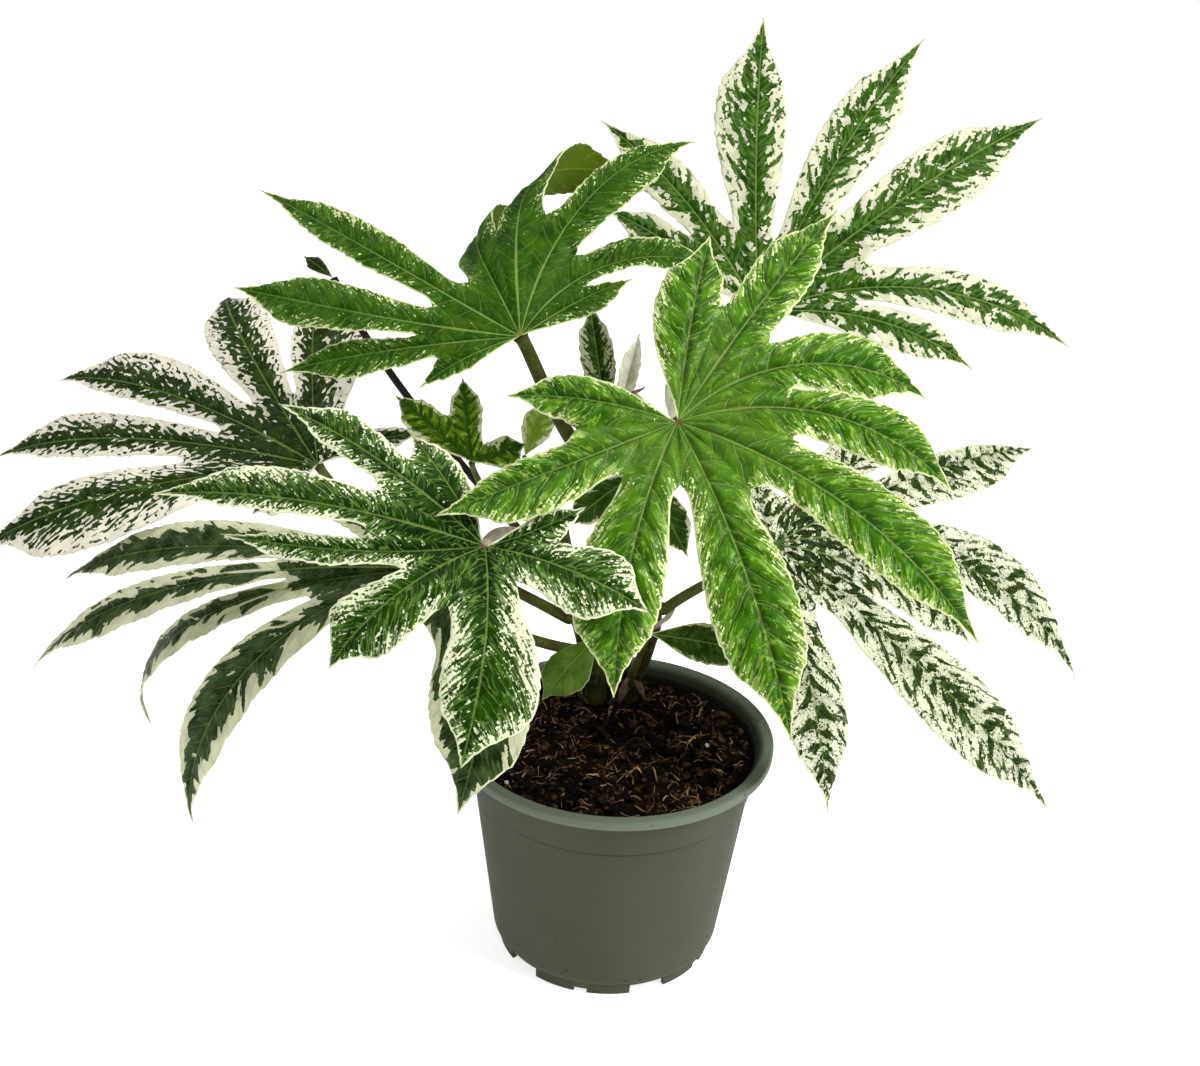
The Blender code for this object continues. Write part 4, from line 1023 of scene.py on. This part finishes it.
class Skin:
    """The pattern on a blade, as nodes that read where a point lies on the blade laid out flat."""

    def __init__(self, tree, look, seed):
        """Reads the blade's maps, and finds how far in a point is and which veins it is on."""
        self.tree, self.look, self.seed = tree, look, seed
        maps = {key: add(tree, "ShaderNodeUVMap", uv_map=key).outputs[0] for key in ("plane", "lobe", "edge")}
        shift = {0: maps["plane"], 1: (seed, 2.0 * seed, 0.0)}
        self.plane = add(tree, "ShaderNodeVectorMath", shift).outputs[0]
        self.vein_lines, self.away = add(tree, "ShaderNodeSeparateXYZ", {0: maps["lobe"]}).outputs[:2]
        self.margin, self.along = add(tree, "ShaderNodeSeparateXYZ", {0: maps["edge"]}).outputs[:2]
        inner = calc(tree, "DIVIDE", self.margin, calc(tree, "ADD", self.margin, self.away))
        inner = calc(tree, "DIVIDE", inner, look.reach)
        self.inner = calc(tree, "MAXIMUM", inner, calc(tree, "DIVIDE", self.margin, look.depth))
        self.ring = calc(tree, "PINGPONG", self.vein_lines, 0.5 * look.pitch)
        self.side_vein = span(tree, self.ring, 0.00015, 0.0007, 1.0, 0.0)
        main_width = calc(tree, "MULTIPLY_ADD", self.margin, 0.022, 0.0003)
        self.main_vein = span(tree, calc(tree, "DIVIDE", self.away, main_width), 0.6, 1.3, 1.0, 0.0)
        fine = {"Vector": self.plane, "Scale": 420.0}
        cells = add(tree, "ShaderNodeTexVoronoi", fine, feature="DISTANCE_TO_EDGE").outputs[0]
        self.mesh_lines = span(tree, cells, 0.0, 0.10, 1.0, 0.0)

    def drawn_out(self, stretch):
        """The blade's coordinates for marks that are drawn out along the side veins."""
        slant = calc(self.tree, "MULTIPLY", self.away, stretch)
        parts = {0: self.vein_lines, 1: slant, 2: float(self.seed)}
        return add(self.tree, "ShaderNodeCombineXYZ", parts).outputs[0]

    def patches(self, vector, scale, detail, weight):
        """Patches of one size, as a value that is as often over 0 as under it."""
        clouds = grain(self.tree, vector, scale, detail)
        return span(self.tree, clouds, 0.28, 0.72, -2.0 * weight, 2.0 * weight)

    def wandering(self, vector, scale, low, high):
        """Thin lines that wander and join: 1 on a line and 0 beside it."""
        off = calc(self.tree, "SUBTRACT", grain(self.tree, vector, scale, 2.0), 0.5)
        return span(self.tree, calc(self.tree, "ABSOLUTE", off), low, high, 1.0, 0.0)

    def washed(self):
        """A tone between the lighter green and the cream."""
        return tuple(0.45 * a + 0.55 * b for a, b in zip(self.look.light, self.look.cream)) + (1.0,)

    def cream_share(self):
        """1 where the blade is cream and 0 where it is green."""
        tree, look = self.tree, self.look
        value = span(tree, self.inner, 0.0, 1.0, look.rim, look.core)
        for part in (
            self.patches(self.plane, 32.0, 1.0, look.cloud),
            self.patches(self.drawn_out(look.stretch), look.size, 0.3, look.blot),
            self.patches(self.drawn_out(0.28), 520.0, 1.0, look.dash),
            self.patches(self.plane, 560.0, 2.0, look.dot),
            span(tree, self.along, 0.84, 0.99, 0.0, -look.tip),
            span(tree, self.along, 0.0, 0.30, -look.hub, 0.0),
            calc(tree, "MULTIPLY", self.wandering(self.plane, 360.0, 0.012, 0.034), -look.net),
            span(tree, grain(tree, self.plane, 340.0, 0.0), 0.305, 0.335, -look.spots, 0.0),
        ):
            value = calc(tree, "ADD", value, part)
        edge = span(tree, self.margin, 0.6 * look.edge, look.edge, 1.0, 0.0)
        return calc(tree, "MAXIMUM", span(tree, value, -0.06, 0.06), edge)

    def green(self):
        """Two greens, darker beside the veins and round the hub, partly with painted shade, mottled with the
        pale tone and crossed by threads.
        """
        tree, look = self.tree, self.look
        dark, light, pale = (*look.dark, 1.0), (*look.light, 1.0), (*look.pale, 1.0)
        lively = span(tree, self.along, 0.10, 0.45, 1.0 - look.even, 1.0)
        # Beside the veins the green is darker: partly the leaf's own tone, partly painted shade along the
        # sunken veins.
        beside = span(tree, self.away, 0.0006, 0.0036, 1.0, 0.0)
        beside = calc(tree, "MAXIMUM", beside, span(tree, self.ring, 0.0004, 0.0022, 0.8, 0.0))
        beside = calc(tree, "MULTIPLY", beside, lively)
        tones = span(tree, grain(tree, self.plane, 90.0, 4.0), 0.32, 0.68)
        tones = calc(tree, "MULTIPLY_ADD", beside, -look.vein_band_shade, tones)
        # Darker round the hub: partly the leaf's own tone, partly painted shade from the leaves above.
        tones = calc(tree, "SUBTRACT", tones, span(tree, self.along, 0.05, 0.40, 0.5 * look.hub, 0.0))
        green = tint(tree, tones, dark, light)
        green = tint(tree, calc(tree, "MULTIPLY", self.mesh_lines, 0.18), green, light)

        mottle = self.patches(self.drawn_out(0.45), 420.0, 4.0, 0.9)
        mottle = calc(tree, "ADD", mottle, span(tree, self.inner, 0.0, 1.0, 0.6, -look.calm))
        mottle = calc(tree, "MULTIPLY_ADD", beside, -look.vein_band_shade, mottle)
        mottle = calc(tree, "SUBTRACT", span(tree, mottle, -0.4, 0.9, 0.0, look.half), 0.3 * look.half)
        mottle = calc(tree, "MULTIPLY_ADD", mottle, lively, 0.3 * look.half)
        green = tint(tree, mottle, green, pale)

        threads = self.wandering(self.drawn_out(0.5), 170.0, 0.010, 0.030)
        threads = calc(tree, "MULTIPLY", threads, look.thread)
        for limit in (
            span(tree, self.inner, 0.0, 1.0, 1.0, 0.6),
            lively,
            span(tree, grain(tree, self.plane, 150.0, 1.0), 0.44, 0.54),
        ):
            threads = calc(tree, "MULTIPLY", threads, limit)
        return tint(tree, threads, green, tint(tree, span(tree, self.inner, 0.1, 0.8), self.washed(), pale))

    def cream(self):
        """The cream, washed with green in places and towards the middle."""
        tree = self.tree
        wash = span(tree, self.inner, 0.0, 0.8, -0.9, 0.6)
        wash = calc(tree, "ADD", self.patches(self.plane, 110.0, 3.0, 0.5), wash)
        return tint(tree, span(tree, wash, -0.3, 0.9, 0.0, 0.75), (*self.look.cream, 1.0), self.washed())

    def veined(self, colour):
        """Lays the veins over a colour, paler or darker than it, and the tone of the hub."""
        tree, look = self.tree, self.look
        paleness = span(tree, self.along, 0.15, 0.6, look.main, look.far)
        both = calc(tree, "MULTIPLY", self.main_vein, paleness)
        both = calc(tree, "MULTIPLY_ADD", self.side_vein, look.side, both)
        colour = tint(tree, calc(tree, "MAXIMUM", both, 0.0), colour, vein_tone)
        darker = calc(tree, "MAXIMUM", calc(tree, "MULTIPLY", both, -1.0), 0.0)
        colour = tint(tree, darker, colour, (*look.dark, 1.0))
        return tint(tree, span(tree, self.along, 0.008, 0.022, 0.9, 0.0), colour, (*look.heart, 1.0))

    def turned_under(self, colour):
        """Makes a colour that of the lower face: duller, with pale veins."""
        tree = self.tree
        tone, amount = self.look.under
        faint = calc(tree, "MAXIMUM", self.main_vein, calc(tree, "MULTIPLY", self.side_vein, 0.6))
        faint = calc(tree, "MULTIPLY", faint, 0.5)
        colour = tint(tree, amount, colour, tone)
        return tint(tree, faint, colour, tuple(min(1.0, 2.0 * part) for part in tone))

    def height(self):
        """How high the face stands: the veins and the fine mesh are sunk, and it is a little rough."""
        tree = self.tree
        sunk = calc(tree, "MULTIPLY", self.side_vein, -0.8)
        sunk = calc(tree, "MULTIPLY_ADD", self.main_vein, -1.0, sunk)
        height = calc(tree, "MULTIPLY_ADD", self.mesh_lines, -0.22, sunk)
        fine = min(0.35, 400.0 * self.look.pucker)
        return calc(tree, "MULTIPLY_ADD", grain(tree, self.plane, 260.0, 3.0), fine, height)


def blade_finish(name, look, seed, under):
    """The skin of one face of a blade: green, cream from the margin in, veins, and their relief."""
    made, tree, shader = new_material(name, 0.6 if under else look.shine)
    shader.inputs["Specular IOR Level"].default_value = 0.10 if under else look.gloss
    shader.inputs["Specular Tint"].default_value = (0.85, 1.0, 0.55, 1.0)
    skin = Skin(tree, look, seed)
    colour = skin.veined(tint(tree, skin.cream_share(), skin.green(), skin.cream()))
    if under:
        colour = skin.turned_under(colour)
    tree.links.new(colour, shader.inputs["Base Color"])
    relief(tree, shader, skin.height(), 0.6, -0.0005 if under else 0.0005)
    return made


for seed, leaf in enumerate(leaves, 1):
    look = looks[leaf.name]
    shape, ribs = blade_shape(leaf, look, seed)
    skins = [blade_finish(f"{leaf.name}_{face}", look, seed, face == "under") for face in ("upper", "under")]
    piece = new_piece(leaf.name.replace("leaf", "blade"), shape, skins)
    shell = piece.modifiers.new("thickness", "SOLIDIFY")
    shell.thickness = blade_thickness
    shell.offset = -1.0
    shell.material_offset = 1
    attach(piece, "root")
    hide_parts(leaf.name)

# Each leaf stands on a long smooth stalk that clasps its stem with a broad foot and swells a little
# under the blade. Its skin runs from green to brown and purple.
stalk_bends = {
    "leaf_top": [(-36, 38, 298), (-52, 26, 360)],
    "leaf_low_front": [(-47, 12, 262), (-68, -62, 306)],
    "leaf_young_far": [(-100, 72, 276), (-150, 74, 337)],
}
stalk_tones = {
    "usual": ((0.040, 0.060, 0.008, 1.0), (0.130, 0.150, 0.035, 1.0), (0.070, 0.050, 0.018, 1.0)),
    "leaf_top": ((0.018, 0.028, 0.003, 1.0), (0.085, 0.105, 0.014, 1.0), (0.046, 0.028, 0.008, 1.0)),
    "leaf_low_front": ((0.300, 0.250, 0.190, 1.0), (0.420, 0.380, 0.290, 1.0), (0.240, 0.170, 0.130, 1.0)),
    "leaf_young_far": ((0.015, 0.011, 0.010, 1.0), (0.035, 0.026, 0.022, 1.0), (0.025, 0.022, 0.012, 1.0)),
}


def bezier(bends, t):
    """The point at a share t of a curve from the first of four points to the last."""
    a, b, c, d = bends
    return (1 - t) ** 3 * a + 3 * (1 - t) ** 2 * t * b + 3 * (1 - t) * t**2 * c + t**3 * d


def stalk_path(leaf, count):
    """A stalk's middle line, from inside its stem to the under side of its leaf."""
    stem = stems[leaf.stem]
    path = stem_path(stem, 70)
    index = min(range(1, len(path)), key=lambda k: abs(path[k].z - leaf.height * 0.001))
    low, high = stem["radii"]
    stem_radius = 0.001 * (low + (high - low) * index / (len(path) - 1))
    thick = leaf.thick * 0.001
    hub = Vector(leaf.hub) * 0.001
    face = (leaf_place(leaf).to_3x3() @ Vector((0.0, 0.0, 1.0))).normalized()
    along = (path[index] - path[index - 1]).normalized()
    leave = hub - path[index]
    leave = (leave - leave.dot(along) * along).normalized()
    start = path[index] + (stem_radius + 0.0003) * leave
    reach = (hub - start).length
    near = start + 0.6 * thick * leave
    if leaf.name in stalk_bends:
        inner = [Vector(point) * 0.001 for point in stalk_bends[leaf.name]]
    else:
        inner = [near + 0.3 * reach * (leave + 0.9 * along), hub - 0.3 * reach * face]
    end = hub - 0.0012 * face
    line = [bezier([near, *inner, end], k / count) for k in range(count + 1)]
    return [pot_place + point for point in [path[index] + 0.3 * stem_radius * leave, start, *line]]


def stalk_shape(leaf):
    """A stalk's skin: broad where it clasps the stem, and swollen under the blade."""
    thick = leaf.thick * 0.001

    def radius_at(share, angle):
        foot = 0.9 * math.exp(-share / 0.05)
        top = 0.22 * math.exp(-(1.0 - share) / 0.02)
        groove = 0.05 * math.cos(3 * angle)
        return thick * (1.25 - 0.28 * share + foot + top + groove)

    shape = bmesh.new()
    sleeve(shape, smooth_path(stalk_path(leaf, 14), 60), radius_at, 18)
    return shape


for leaf in leaves:
    if leaf.stem:
        tones = stalk_tones.get(leaf.name, stalk_tones["usual"])
        name = leaf.name.replace("leaf", "stalk")
        piece = new_piece(f"{name}_skin", stalk_shape(leaf), [stalk_finish(f"{name}_finish", *tones)])
        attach(piece, "root")
        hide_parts(name)

# Thin dry scales, pointed and cupped: three by the growing shoot, one under a stalk and torn sheaths
# at the stems' feet. The one called fold is soft and pale: it is the front leaf's edge, folded under
# where its lobes meet. It is paler than that edge's own cream: painted light, as it lies in shade.
bract_thickness = 0.0004
bracts = (
    ("pale", (-7, 50, 339), (14, 49, 326), (0.4, -0.5, 0.6), 11.0),
    ("brown", (-9, 49, 337), (8, 48, 342), (0.2, -0.5, -0.6), 5.0),
    ("brown", (9, 48, 333), (15, 48, 326), (0.4, -0.5, 0.6), 2.5),
    ("fold", (23, -47, 360), (18, -35, 376), (0.0, 0.7, -0.7), 7.5),
    ("pale", (19, 46, 187), (33, 47, 202), (0.5, -0.6, -0.2), 9.0),
    ("brown", (8, 50, 150), (2, 44, 135), (-0.4, -0.8, 0.2), 8.0),
    ("brown", (12, 50, 150), (18, 46, 137), (0.5, -0.7, 0.2), 6.0),
    ("olive", (-17, 50, 129), (-25, 47, 149), (-0.7, -0.5, 0.0), 9.0),
    ("olive", (-4, 50, 129), (-1, 45, 142), (0.5, -0.7, 0.0), 7.0),
)
bract_tones = {
    "pale": ((0.360, 0.310, 0.220, 1.0), (0.560, 0.520, 0.400, 1.0)),
    # The fold's tones are lighter than the front leaf's cream: painted light, since the fold lies in shade.
    "fold": ((0.880, 0.860, 0.680, 1.0), (0.960, 0.940, 0.780, 1.0)),
    "brown": ((0.080, 0.042, 0.022, 1.0), (0.260, 0.160, 0.100, 1.0)),
    "olive": ((0.050, 0.052, 0.014, 1.0), (0.130, 0.125, 0.045, 1.0)),
}


def add_bract(shape, base, tip, out, width):
    """Adds one scale between two points, bowed outwards and cupped."""
    base, tip, out = Vector(base) * 0.001, Vector(tip) * 0.001, Vector(out).normalized()
    along = tip - base
    across = along.cross(out).normalized()
    grid = bmesh.ops.create_grid(shape, x_segments=10, y_segments=6, size=0.5)["verts"]
    for corner in grid:
        share, aside = corner.co.x + 0.5, 2.0 * corner.co.y
        half = 0.0005 * width * (1.0 - share) ** 0.7 * (0.5 + 0.5 * min(1.0, share / 0.3)) + 0.0001
        bow = 0.14 * along.length * math.sin(math.pi * share)
        ruffle = 0.0005 * math.sin(9.0 * share + 2.0 * aside)
        corner.co = pot_place + base + share * along + half * aside * across
        corner.co += (bow + ruffle - 0.6 * half * aside * aside) * out


def bract_finish(name, dark, light):
    """A dry scale: two tones in fine streaks, and nearly dull."""
    made, tree, shader = new_material(name, 0.6)
    place = add(tree, "ShaderNodeTexCoord").outputs["Object"]
    streaks = grain(tree, place, 500.0, 4.0, 0.6)
    tree.links.new(tint(tree, span(tree, streaks, 0.35, 0.65), dark, light), shader.inputs["Base Color"])
    relief(tree, shader, streaks, 0.4, 0.0004)
    return made


for tone, tones in bract_tones.items():
    shape = bmesh.new()
    for kind, *rest in bracts:
        if kind == tone:
            add_bract(shape, *rest)
    piece = new_piece(f"bracts_{tone}", shape, [bract_finish(f"bract_{tone}", *tones)])
    shell = piece.modifiers.new("thickness", "SOLIDIFY")
    shell.thickness = bract_thickness
    shell.offset = 0.0
    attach(piece, "root")
